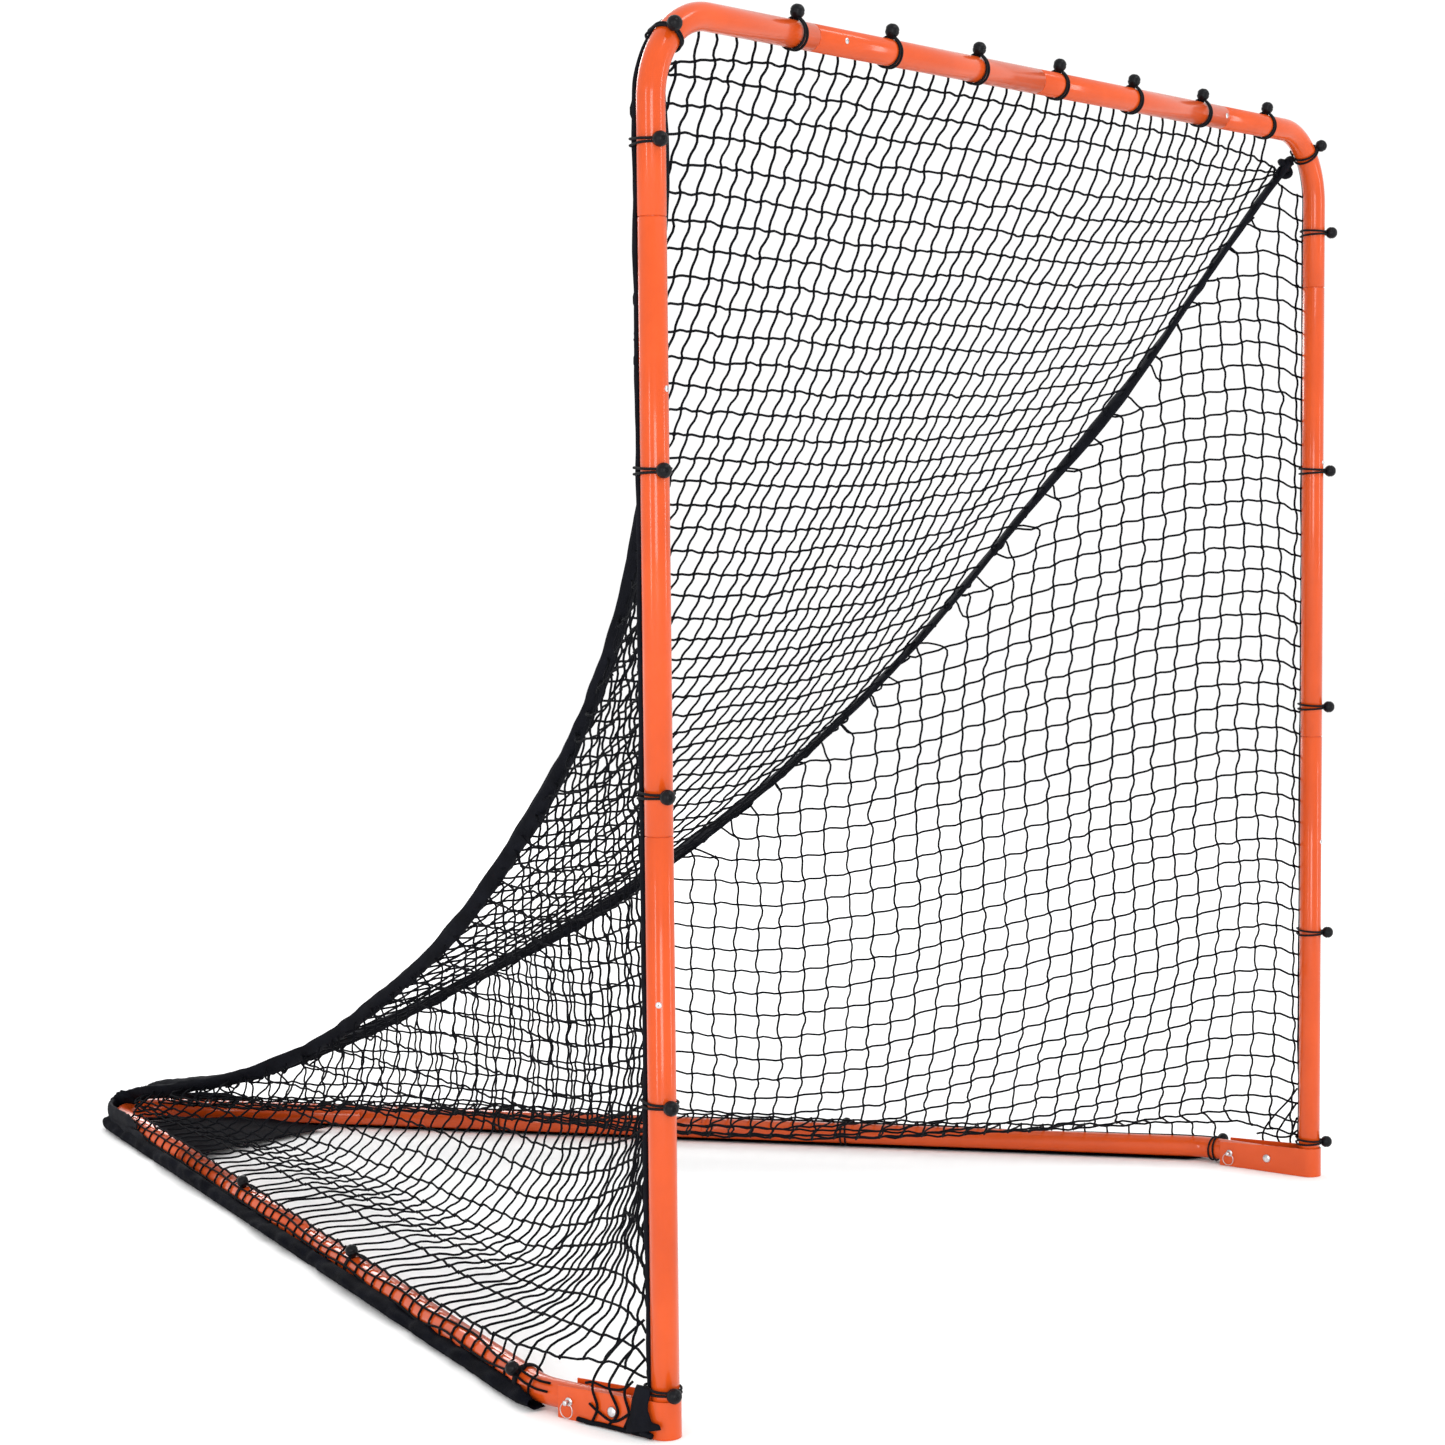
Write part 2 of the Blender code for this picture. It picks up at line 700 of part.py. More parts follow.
def hang_on_fold_axis():
    """Parents the floor frame and all it carries to an empty on the axis it folds about."""
    axis = bpy.data.objects.new("fold_axis", None)
    PARTS.objects.link(axis)
    place = Matrix.Translation(behind_posts(0.0, BOLT_Y, FLOOR_TUBE_Z))
    axis.matrix_world = place
    carried = ("floor_", "rear_corner_tube", "corner_patch", "bungee_floor_")
    for item in PARTS.objects:
        if item.name.startswith(carried):
            item.parent = axis
            item.matrix_parent_inverse = place.inverted()


def build():
    front_frame_tubes()
    floor_frame_tubes()
    for side, sign in SIDES:
        hinge_bracket(side, sign)
        pivot_bolt(side, sign)
        lock_pin(side, sign)
        seam_binding(side, sign)
        side_panel(side, sign)
    loop = bungee_mesh()
    front_bungees(loop)
    floor_bungees(loop)
    edge_cord()
    back_panel()
    floor_hem()
    corner_patch()
    hang_on_fold_axis()


clear_scene()
PARTS = new_collection("lacrosse_goal")
CUTTERS = new_collection("cutters")
build()
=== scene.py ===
"""The looks of a folding lacrosse goal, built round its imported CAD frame.

Metres, +Z up. Positions that say "behind the posts" count Y from the posts' axes.
"""

import bmesh
import bpy
import numpy as np
from math import asin, atan2, cos, exp, pi, radians, sin, sqrt, tan
from mathutils import Matrix, Vector


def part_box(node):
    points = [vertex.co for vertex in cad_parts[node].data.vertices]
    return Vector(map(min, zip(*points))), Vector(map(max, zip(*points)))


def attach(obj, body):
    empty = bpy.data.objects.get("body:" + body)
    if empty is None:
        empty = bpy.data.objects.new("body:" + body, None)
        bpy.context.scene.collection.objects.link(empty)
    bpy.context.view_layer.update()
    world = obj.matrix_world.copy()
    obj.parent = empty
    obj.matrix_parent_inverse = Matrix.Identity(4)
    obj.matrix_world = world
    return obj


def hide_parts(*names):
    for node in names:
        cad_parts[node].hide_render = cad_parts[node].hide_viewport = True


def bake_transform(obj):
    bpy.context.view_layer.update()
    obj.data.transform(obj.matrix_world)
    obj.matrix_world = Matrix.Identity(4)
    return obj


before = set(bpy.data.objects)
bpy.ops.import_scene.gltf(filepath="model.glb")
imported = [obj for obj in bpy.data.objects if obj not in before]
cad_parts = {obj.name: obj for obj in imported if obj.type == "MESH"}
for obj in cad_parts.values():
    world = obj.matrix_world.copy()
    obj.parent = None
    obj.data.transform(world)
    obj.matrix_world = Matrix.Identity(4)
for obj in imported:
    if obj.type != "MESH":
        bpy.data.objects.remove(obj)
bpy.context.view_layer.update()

# ---------------------------------------------------------------- sizes read from the frame


def middle(node):
    low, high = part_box(node)
    return (low + high) / 2


POST = middle("lower_post_right")
POST_X = POST.x
POST_Y = POST.y
CROSSBAR_Z = middle("crossbar_right").z
FLOOR_TUBE_Z = middle("floor_middle_tube_left").z
BOLT = middle("pivot_bolt_left") - Vector((0, POST_Y, 0))
PIN = middle("lock_pin_left") - Vector((0, POST_Y, 0))

# Tubes and their joints; joints are given along X, up the posts or behind the posts
TUBE_RADIUS = 0.019
TUBE_WALL = 0.0012
CORNER_BEND = 0.120
CROSSBAR_JOINT_X = 0.585
POST_JOINTS_Z = (0.800, 1.600)
FOOT_Z = 0.0015
SPIGOT_GAP = 0.0003
SPIGOT_RADIUS = TUBE_RADIUS - TUBE_WALL - SPIGOT_GAP
SPIGOT_SHOWN = 0.030
END_ROLL = 0.0009
JOINT_GAP = 0.0004
TUBE_SIDES = 48
FLOOR_TUBE_FRONT = 0.058
KNEE_Y = 0.215
KNEE_BEND = 0.120
APEX_BEND = 0.062
FLOOR_JOINTS_Y = (1.080, 1.705)
APEX_TIP_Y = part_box("rear_corner_tube")[1].y - POST_Y - TUBE_RADIUS

# Hinge brackets, bolts and pins
CHEEK_INNER = 0.0194
CHEEK_OUTER = 0.0214
BRACKET_REAR = 0.170
BRACKET_HEIGHTS = (0.051, 0.044)
BOLT_BORE = 0.00425
PIN_BORE = 0.0034
RING_HOLE = 0.0018
RING_RADIUS = 0.0105
SEAT = CHEEK_OUTER + 0.0003

# Net, its edge cord and the bungees that hold it
MESH_SIZE = 0.0400
TWINE_RADIUS = 0.0019
KNOT_RADIUS = 0.0031
KNOT_SCATTER = 0.0009
END_SCATTER = 0.0018
EDGE_OUT = 0.0060
EDGE_BEHIND = 0.0228
EDGE_RADIUS = 0.0038
ELASTIC_RADIUS = 0.0018
BALL_RADIUS = 0.0104
BALL_REACH = 0.0305
LOOP_POINTS = 90
SIDES = (("left", -1), ("right", 1))

# The right seam from the upper corner to the rear corner: across, behind the posts, height
SEAM_ROUTE = np.array(
    [
        (0.872, 0.034, 1.800),
        (0.780, 0.114, 1.640),
        (0.668, 0.220, 1.430),
        (0.525, 0.355, 1.200),
        (0.419, 0.531, 0.958),
        (0.330, 0.731, 0.751),
        (0.215, 1.030, 0.510),
        (0.120, 1.290, 0.355),
        (0.052, 1.520, 0.236),
        (0.033, 1.760, 0.142),
        (0.028, 1.960, 0.092),
        (0.022, 2.085, 0.066),
    ]
)

SHIFT = np.array([0.0, POST_Y, 0.0])


def apex_vertex_y():
    """Where the two floor sides would meet, from where their rounded corner ends."""
    reach = 0.08
    for _ in range(20):
        half = atan2(POST_X, APEX_TIP_Y + reach - KNEE_Y)
        reach = APEX_BEND * (1 / sin(half) - 1)
    return APEX_TIP_Y + reach


VERTEX_Y = apex_vertex_y()
SIDE_ANGLE = atan2(POST_X, VERTEX_Y - KNEE_Y)


def floor_half_width(y):
    if y < KNEE_Y:
        return POST_X
    return POST_X * (VERTEX_Y - y) / (VERTEX_Y - KNEE_Y)


# ---------------------------------------------------------------- materials


def new_material(name):
    made = bpy.data.materials.new(name)
    made.use_nodes = True
    tree = made.node_tree
    return made, tree, tree.nodes["Principled BSDF"]


def link(tree, out, into):
    tree.links.new(out, into)


def noise(tree, scale, detail=3.0, roughness=0.5, stretch=None):
    where = tree.nodes.new("ShaderNodeTexCoord")
    node = tree.nodes.new("ShaderNodeTexNoise")
    node.inputs["Scale"].default_value = scale
    node.inputs["Detail"].default_value = detail
    node.inputs["Roughness"].default_value = roughness
    if stretch is None:
        link(tree, where.outputs["Object"], node.inputs["Vector"])
    else:
        mapping = tree.nodes.new("ShaderNodeMapping")
        mapping.inputs["Scale"].default_value = stretch
        link(tree, where.outputs["Object"], mapping.inputs["Vector"])
        link(tree, mapping.outputs["Vector"], node.inputs["Vector"])
    return node.outputs["Fac"]


def ramp(tree, value, stops):
    node = tree.nodes.new("ShaderNodeValToRGB")
    elements = node.color_ramp.elements
    elements[0].position, elements[0].color = stops[0][0], (*stops[0][1], 1.0)
    elements[1].position, elements[1].color = stops[-1][0], (*stops[-1][1], 1.0)
    for position, colour in stops[1:-1]:
        made = elements.new(position)
        made.color = (*colour, 1.0)
    link(tree, value, node.inputs["Fac"])
    return node.outputs["Color"]


def spread(tree, value, low, high):
    node = tree.nodes.new("ShaderNodeMapRange")
    node.inputs["To Min"].default_value = low
    node.inputs["To Max"].default_value = high
    link(tree, value, node.inputs["Value"])
    return node.outputs["Result"]


def bump(tree, shader, height, distance, strength=1.0, into=None):
    node = tree.nodes.new("ShaderNodeBump")
    node.inputs["Distance"].default_value = distance
    node.inputs["Strength"].default_value = strength
    link(tree, height, node.inputs["Height"])
    if into is not None:
        link(tree, into, node.inputs["Normal"])
    link(tree, node.outputs["Normal"], shader.inputs["Normal"])
    return node.outputs["Normal"]


def paint_material():
    """Glossy orange powder coat: slight orange peel, faint handling marks and dust."""
    made, tree, shader = new_material("orange_powder_coat")
    blotch = noise(tree, 9.0, 4.0, 0.6)
    colour = ramp(
        tree,
        blotch,
        (
            (0.30, (0.520, 0.060, 0.0060)),
            (0.55, (0.570, 0.068, 0.0070)),
            (0.80, (0.615, 0.078, 0.0095)),
        ),
    )
    link(tree, colour, shader.inputs["Base Color"])
    scuffs = noise(tree, 60.0, 6.0, 0.7)
    link(tree, spread(tree, scuffs, 0.26, 0.42), shader.inputs["Roughness"])
    shader.inputs["Specular IOR Level"].default_value = 0.10
    shader.inputs["Coat Weight"].default_value = 0.55
    shader.inputs["Coat Roughness"].default_value = 0.12
    bump(tree, shader, noise(tree, 420.0, 2.0), 0.00012, 0.35)
    return made


def zinc_material():
    """Bright zinc plate with fine handling scratches."""
    made, tree, shader = new_material("zinc_plate")
    shade = noise(tree, 260.0, 5.0, 0.7)
    colour = ramp(tree, shade, ((0.3, (0.52, 0.52, 0.53)), (0.7, (0.74, 0.74, 0.75))))
    link(tree, colour, shader.inputs["Base Color"])
    shader.inputs["Metallic"].default_value = 1.0
    link(tree, spread(tree, shade, 0.20, 0.42), shader.inputs["Roughness"])
    bump(tree, shader, noise(tree, 900.0, 3.0), 0.00005, 0.4)
    return made


def twine_material():
    """Black braided twine: fine strands wound round the cord, slightly faded on top."""
    made, tree, shader = new_material("net_twine")
    strands = noise(tree, 1100.0, 2.0)
    fade = noise(tree, 12.0, 3.0)
    colour = ramp(tree, fade, ((0.35, (0.0020, 0.0023, 0.0036)), (0.75, (0.0048, 0.0053, 0.0078))))
    link(tree, colour, shader.inputs["Base Color"])
    shader.inputs["Roughness"].default_value = 0.85
    shader.inputs["Specular IOR Level"].default_value = 0.08
    bump(tree, shader, strands, 0.0004, 0.8)
    return made


def weave_material(name, dark, light, threads, rough, gloss):
    """Woven polyester: crossing threads, worn paler along the creases."""
    made, tree, shader = new_material(name)
    where = tree.nodes.new("ShaderNodeTexCoord")
    waves = []
    for direction in ("X", "Y", "Z"):
        wave = tree.nodes.new("ShaderNodeTexWave")
        wave.bands_direction = direction
        wave.inputs["Scale"].default_value = threads
        wave.inputs["Distortion"].default_value = 1.2
        wave.inputs["Detail"].default_value = 1.0
        link(tree, where.outputs["Object"], wave.inputs["Vector"])
        waves.append(wave.outputs["Fac"])
    total = tree.nodes.new("ShaderNodeMath")
    total.operation = "MAXIMUM"
    link(tree, waves[0], total.inputs[0])
    link(tree, waves[1], total.inputs[1])
    full = tree.nodes.new("ShaderNodeMath")
    full.operation = "MULTIPLY"
    link(tree, total.outputs[0], full.inputs[0])
    link(tree, waves[2], full.inputs[1])
    fade = noise(tree, 22.0, 5.0, 0.65)
    colour = ramp(tree, fade, ((0.35, dark), (0.72, light)))
    link(tree, colour, shader.inputs["Base Color"])
    shader.inputs["Roughness"].default_value = rough
    shader.inputs["Specular IOR Level"].default_value = gloss
    wrinkle = bump(tree, shader, noise(tree, 34.0, 4.0, 0.6), 0.0022, 0.55)
    bump(tree, shader, full.outputs[0], 0.0003, 0.6, into=wrinkle)
    return made


def rubber_material():
    """Black moulded plastic of the bungee balls, satin with a faint grain."""
    made, tree, shader = new_material("moulded_ball")
    grain = noise(tree, 300.0, 4.0, 0.6)
    colour = ramp(tree, grain, ((0.3, (0.0026, 0.0028, 0.0038)), (0.7, (0.0060, 0.0063, 0.0080))))
    link(tree, colour, shader.inputs["Base Color"])
    link(tree, spread(tree, grain, 0.28, 0.44), shader.inputs["Roughness"])
    shader.inputs["Specular IOR Level"].default_value = 0.13
    bump(tree, shader, grain, 0.00015, 0.4)
    return made


def elastic_material():
    """Braided cover of the elastic cord."""
    made, tree, shader = new_material("elastic_cord")
    fibres = noise(tree, 1400.0, 2.0, stretch=(1.0, 1.0, 0.35))
    colour = ramp(tree, fibres, ((0.3, (0.0025, 0.0027, 0.0038)), (0.7, (0.0075, 0.0078, 0.0100))))
    link(tree, colour, shader.inputs["Base Color"])
    shader.inputs["Roughness"].default_value = 0.70
    shader.inputs["Specular IOR Level"].default_value = 0.12
    bump(tree, shader, fibres, 0.0003, 0.7)
    return made


PAINT = paint_material()
ZINC = zinc_material()
TWINE = twine_material()
WEBBING = weave_material(
    "webbing_weave", (0.0022, 0.0026, 0.0046), (0.0058, 0.0066, 0.0108), 260.0, 0.75, 0.09
)
FABRIC = weave_material(
    "hem_fabric", (0.0010, 0.0012, 0.0027), (0.0032, 0.0038, 0.0076), 420.0, 0.80, 0.045
)
BALL = rubber_material()
ELASTIC = elastic_material()


# ---------------------------------------------------------------- mesh helpers


def new_object(name, data):
    """A new object for a mesh, a light or a camera, in the scene."""
    item = bpy.data.objects.new(name, data)
    bpy.context.scene.collection.objects.link(item)
    return item


def mesh_piece(name, verts, faces, made, body=None, nodes=(), shade=True):
    """A new piece from arrays of points and faces, in the row frame."""
    mesh = bpy.data.meshes.new(name)
    mesh.from_pydata(np.asarray(verts, float).tolist(), [], [list(map(int, f)) for f in faces])
    mesh.materials.append(made)
    if shade:
        mesh.shade_smooth()
    mesh.update()
    item = new_object(name, mesh)
    finish_piece(item, body, nodes)
    return item


def finish_piece(item, body, nodes):
    if body is not None:
        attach(item, body)
    if nodes:
        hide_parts(*nodes)


class Builder:
    """Collects points and faces of many small shapes into one mesh."""

    def __init__(self):
        self.verts = []
        self.faces = []
        self.count = 0

    def add(self, verts, faces):
        self.verts.append(np.asarray(verts, float))
        self.faces.append(np.asarray(faces, int) + self.count)
        self.count += len(verts)

    def piece(self, name, made, body=None, slot=None, nodes=()):
        verts = np.vstack(self.verts)
        faces = [face for block in self.faces for face in block.tolist()]
        return mesh_piece(name, verts, faces, made, body, nodes)


def frames_along(points):
    """Two normals along a path, without twist."""
    points = np.asarray(points, float)
    tangents = np.gradient(points, axis=0)
    tangents /= np.linalg.norm(tangents, axis=1)[:, None] + 1e-12
    start = np.array([0.0, 0.0, 1.0])
    if abs(tangents[0] @ start) > 0.9:
        start = np.array([1.0, 0.0, 0.0])
    normal = start - tangents[0] * (start @ tangents[0])
    normal /= np.linalg.norm(normal)
    normals = [normal]
    for tangent in tangents[1:]:
        normal = normal - tangent * (normal @ tangent)
        normal = normal / (np.linalg.norm(normal) + 1e-12)
        normals.append(normal)
    normals = np.array(normals)
    return normals, np.cross(tangents, normals)


def rings_along(points, radii, sides):
    """Rings of points round a path, one after another."""
    points = np.asarray(points, float)
    radii = np.broadcast_to(np.asarray(radii, float), (len(points),))
    normals, sideways = frames_along(points)
    turn = np.arange(sides) * 2 * pi / sides
    rings = (
        points[:, None, :]
        + radii[:, None, None] * np.cos(turn)[None, :, None] * normals[:, None, :]
        + radii[:, None, None] * np.sin(turn)[None, :, None] * sideways[:, None, :]
    )
    return rings.reshape(-1, 3)


def ring_faces(count, sides):
    """Faces between rings that follow one another."""
    row = np.arange(count - 1)[:, None] * sides
    a = np.arange(sides)[None, :]
    b = (a + 1) % sides
    return np.stack([row + a, row + b, row + sides + b, row + sides + a], axis=2).reshape(-1, 4)


def add_bar(builder, verts, sides):
    """A solid bar through rings of points, capped at both ends."""
    count = len(verts)
    builder.add(verts, ring_faces(count // sides, sides))
    caps = [list(range(sides))[::-1], [count - sides + i for i in range(sides)]]
    builder.faces.append(np.asarray(caps, int) + builder.count - count)


def add_tube(builder, points, radii, sides):
    add_bar(builder, rings_along(points, radii, sides), sides)


def spline(points, per_span):
    """A smooth curve through points."""
    points = np.asarray(points, float)
    if len(points) < 3:
        steps = np.linspace(0.0, 1.0, per_span + 1)[:, None]
        return points[0] + (points[-1] - points[0]) * steps
    padded = np.vstack([2 * points[0] - points[1], points, 2 * points[-1] - points[-2]])
    p0, p1, p2, p3 = padded[:-3], padded[1:-2], padded[2:-1], padded[3:]
    t = (np.arange(per_span) / per_span)[None, :, None]
    p0, p1, p2, p3 = (p[:, None, :] for p in (p0, p1, p2, p3))
    curve = 0.5 * (
        2 * p1
        + (p2 - p0) * t
        + (2 * p0 - 5 * p1 + 4 * p2 - p3) * t * t
        + (3 * p1 - p0 - 3 * p2 + p3) * t * t * t
    )
    return np.vstack([curve.reshape(-1, points.shape[1]), points[-1]])


def rounded_path(corners, radius, steps):
    """Straight runs between corners, with an arc at each inner corner."""
    corners = [Vector(c) for c in corners]
    points = [corners[0]]
    for before, corner, after in zip(corners, corners[1:], corners[2:]):
        back = (before - corner).normalized()
        ahead = (after - corner).normalized()
        half = back.angle(ahead) / 2
        centre = corner + (back + ahead).normalized() * radius / sin(half)
        start = corner + back * radius / tan(half) - centre
        turn_axis = start.cross(corner - centre).normalized()
        for step in range(steps + 1):
            turn = Matrix.Rotation((pi - 2 * half) * step / steps, 3, turn_axis)
            points.append(centre + turn @ start)
    points.append(corners[-1])
    return points


def to_row(points):
    return np.asarray([tuple(p) for p in points], float) + SHIFT


def smooth_noise(generator, shape, reach):
    """Random values that vary smoothly over a grid, about one in size."""
    field = generator.standard_normal(shape)
    for axis, width in enumerate(reach):
        if width <= 0:
            continue
        offsets = np.arange(-int(3 * width) - 1, int(3 * width) + 2)
        kernel = np.exp(-0.5 * (offsets / width) ** 2)
        kernel /= kernel.sum()
        pad = len(offsets) // 2
        wide = np.pad(field, [(pad, pad) if i == axis else (0, 0) for i in range(2)], mode="reflect")
        field = np.apply_along_axis(lambda line: np.convolve(line, kernel, mode="valid"), axis, wide)
    return field / (field.std() + 1e-9)


# ---------------------------------------------------------------- tubes


def tube_profile(path):
    """Path points and radii of a tube, its ends rolled over a little as on cut and coated tube."""
    path = np.asarray([tuple(p) for p in path], float)
    ahead = path[1] - path[0]
    back = path[-2] - path[-1]
    first = path[0] + ahead / np.linalg.norm(ahead) * END_ROLL
    last = path[-1] + back / np.linalg.norm(back) * END_ROLL
    points = np.vstack([path[0], first, path[1:-1], last, path[-1]])
    radii = np.full(len(points), TUBE_RADIUS)
    radii[[0, -1]] -= END_ROLL
    return points, radii


def hollow_tube(name, path, node, gap_start=False, gap_end=False):
    """A tube that replaces its CAD node, cut short by a narrow shadow gap at each joint."""
    path = [Vector(p) for p in path]
    if gap_start:
        path[0] = path[0] + (path[1] - path[0]).normalized() * JOINT_GAP
    if gap_end:
        path[-1] = path[-1] + (path[-2] - path[-1]).normalized() * JOINT_GAP
    points, radii = tube_profile(path)
    outer = rings_along(points, radii, TUBE_SIDES)
    inner = rings_along(points, radii - TUBE_WALL, TUBE_SIDES)
    count = len(outer)
    last = count - TUBE_SIDES
    walls = ring_faces(len(points), TUBE_SIDES)
    faces = walls.tolist() + (walls[:, ::-1] + count).tolist()
    for i in range(TUBE_SIDES):
        j = (i + 1) % TUBE_SIDES
        faces.append([i, i + count, j + count, j])
        faces.append([last + j, last + j + count, last + i + count, last + i])
    builder = Builder()
    builder.add(np.vstack([outer, inner]), faces)
    return builder.piece(name, PAINT, None, "orange_paint", (node,))


def sleeve(name, centre, along, body):
    """The swaged spigot that shows as a dark line in the gap of a joint."""
    centre = np.asarray(tuple(centre), float)
    along = np.asarray(tuple(along), float)
    along /= np.linalg.norm(along)
    builder = Builder()
    add_tube(builder, [centre - along * SPIGOT_SHOWN, centre + along * SPIGOT_SHOWN], SPIGOT_RADIUS, 32)
    builder.piece(name, PAINT, body, "orange_paint")


def row(x, y, z):
    return Vector((x, y + POST_Y, z))


def front_tubes():
    middle_z, upper_z = POST_JOINTS_Z
    body = "front_frame"
    for side, sign in SIDES:
        corner = rounded_path(
            [
                row(sign * CROSSBAR_JOINT_X, 0, CROSSBAR_Z),
                row(sign * POST_X, 0, CROSSBAR_Z),
                row(sign * POST_X, 0, upper_z),
            ],
            CORNER_BEND,
            28,
        )
        name = f"corner_tube_{side}"
        item = hollow_tube(f"bent_{name}", corner, name, True, True)
        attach(item, body)
        for part, top, bottom, ends in (
            ("upper_post", upper_z, middle_z, (True, True)),
            ("lower_post", middle_z, FOOT_Z, (True, False)),
        ):
            line = [row(sign * POST_X, 0, top), row(sign * POST_X, 0, bottom)]
            item = hollow_tube(f"painted_{part}_{side}", line, f"{part}_{side}", *ends)
            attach(item, body)
        for label, z in (("upper", upper_z), ("middle", middle_z)):
            sleeve(f"spigot_{label}_{side}", row(sign * POST_X, 0, z), (0, 0, 1), body)
        line = [row(0, 0, CROSSBAR_Z), row(sign * CROSSBAR_JOINT_X, 0, CROSSBAR_Z)]
        item = hollow_tube(f"painted_crossbar_{side}", line, f"crossbar_{side}", True, True)
        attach(item, body)
        sleeve(f"spigot_crossbar_{side}", row(sign * CROSSBAR_JOINT_X, 0, CROSSBAR_Z), (1, 0, 0), body)
    sleeve("spigot_crossbar_middle", row(0, 0, CROSSBAR_Z), (1, 0, 0), body)


def floor_point(sign, y):
    return row(sign * floor_half_width(y), y, FLOOR_TUBE_Z)


def cut(item, tools):
    """Applies boolean cuts to a mesh and drops the cutters."""
    for tool in tools:
        modifier = item.modifiers.new("cut", "BOOLEAN")
        modifier.operation = "DIFFERENCE"
        modifier.solver = "EXACT"
        modifier.object = tool
    made = bpy.data.meshes.new_from_object(item.evaluated_get(bpy.context.evaluated_depsgraph_get()))
    item.modifiers.clear()
    item.data = made
    for tool in tools:
        bpy.data.objects.remove(tool)


def cutter(name, shape, place):
    mesh = bpy.data.meshes.new(name)
    shape.to_mesh(mesh)
    shape.free()
    item = new_object(name, mesh)
    item.matrix_world = place
    bpy.context.view_layer.update()
    return item


def drill(x, y, z, radius, length=0.07, axis="Y"):
    """A round cutter, turned from Z about an axis."""
    shape = bmesh.new()
    bmesh.ops.create_cone(shape, cap_ends=True, segments=32, radius1=radius, radius2=radius, depth=length)
    place = Matrix.Translation(row(x, y, z)) @ Matrix.Rotation(radians(90), 4, axis)
    return cutter("drill", shape, place)


def bores(sign):
    """Cutters for the pivot bolt's and the lock pin's holes on one side."""
    x = sign * POST_X
    return [drill(x, BOLT.y, FLOOR_TUBE_Z, BOLT_BORE), drill(x, PIN.y, FLOOR_TUBE_Z, PIN_BORE)]


def slot_cutter(x):
    """A cutter for the slot below the floor tube's pin hole, along the way the pin takes in the fold."""
    depth = TUBE_RADIUS + 0.006
    width = 0.0065
    drop = asin(TUBE_RADIUS / (PIN.y - BOLT.y)) / 2
    shape = bmesh.new()
    bmesh.ops.create_cube(shape, size=1.0)
    for corner in shape.verts:
        corner.co = Vector((corner.co.x * 0.07, corner.co.y * width, corner.co.z * depth - depth / 2))
    place = Matrix.Translation(row(x, PIN.y, FLOOR_TUBE_Z)) @ Matrix.Rotation(-drop, 4, "X")
    return cutter("slot", shape, place)


def floor_tubes():
    front_joint, rear_joint = FLOOR_JOINTS_Y
    body = "base_frame"
    for side, sign in SIDES:
        corners = [
            row(sign * POST_X, FLOOR_TUBE_FRONT, FLOOR_TUBE_Z),
            row(sign * POST_X, KNEE_Y, FLOOR_TUBE_Z),
            floor_point(sign, front_joint),
        ]
        line = rounded_path(corners, KNEE_BEND, 16)
        item = hollow_tube(f"painted_floor_front_{side}", line, f"floor_front_tube_{side}", False, True)
        cut(item, [*bores(sign), slot_cutter(sign * POST_X)])
        item.data.shade_smooth()
        item.data.set_sharp_from_angle(angle=radians(40))
        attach(item, body)
        line = [floor_point(sign, front_joint), floor_point(sign, rear_joint)]
        item = hollow_tube(f"painted_floor_middle_{side}", line, f"floor_middle_tube_{side}", True, True)
        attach(item, body)
        along = (-sign * sin(SIDE_ANGLE), cos(SIDE_ANGLE), 0)
        for label, y in (("front", front_joint), ("rear", rear_joint)):
            sleeve(f"spigot_floor_{label}_{side}", floor_point(sign, y), along, body)
    corners = [floor_point(-1, rear_joint), row(0, VERTEX_Y, FLOOR_TUBE_Z), floor_point(1, rear_joint)]
    line = rounded_path(corners, APEX_BEND, 40)
    item = hollow_tube("bent_rear_corner", line, "rear_corner_tube", True, True)
    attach(item, body)


# ---------------------------------------------------------------- hinge brackets and fasteners


def bracket(side, sign):
    """A folded strip round the front of the foot with two cheeks, its edges eased."""
    radius = (CHEEK_INNER + CHEEK_OUTER) / 2
    turns = 32
    outline = [(-radius, BRACKET_REAR * (1 - i / 10)) for i in range(10)]
    outline += [(-radius * cos(pi * i / turns), -radius * sin(pi * i / turns)) for i in range(turns + 1)]
    outline += [(radius, BRACKET_REAR * (i + 1) / 10) for i in range(10)]
    mesh = bpy.data.meshes.new(f"bracket_{side}")
    shape = bmesh.new()
    bottom = [shape.verts.new((x, y, 0.0)) for x, y in outline]
    edges = [shape.edges.new(pair) for pair in zip(bottom, bottom[1:])]
    raised = bmesh.ops.extrude_edge_only(shape, edges=edges)["geom"]
    for corner in [part for part in raised if isinstance(part, bmesh.types.BMVert)]:
        share = max(corner.co.y, 0.0) / BRACKET_REAR
        corner.co.z = BRACKET_HEIGHTS[0] + (BRACKET_HEIGHTS[1] - BRACKET_HEIGHTS[0]) * share
    bmesh.ops.recalc_face_normals(shape, faces=shape.faces)
    shape.to_mesh(mesh)
    shape.free()
    mesh.materials.append(PAINT)
    item = new_object(f"folded_bracket_{side}", mesh)
    item.matrix_world = Matrix.Translation(row(sign * POST_X, 0, 0))
    shell = item.modifiers.new("sheet", "SOLIDIFY")
    shell.thickness = CHEEK_OUTER - CHEEK_INNER
    shell.offset = 0.0
    bpy.context.view_layer.update()
    cut(item, bores(sign))
    ease = item.modifiers.new("ease", "BEVEL")
    ease.width = 0.0005
    ease.segments = 2
    ease.limit_method = "ANGLE"
    ease.angle_limit = radians(50)
    item.data.shade_smooth()
    item.data.set_sharp_from_angle(angle=radians(40))
    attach(item, "front_frame")
    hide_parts(f"hinge_bracket_{side}")


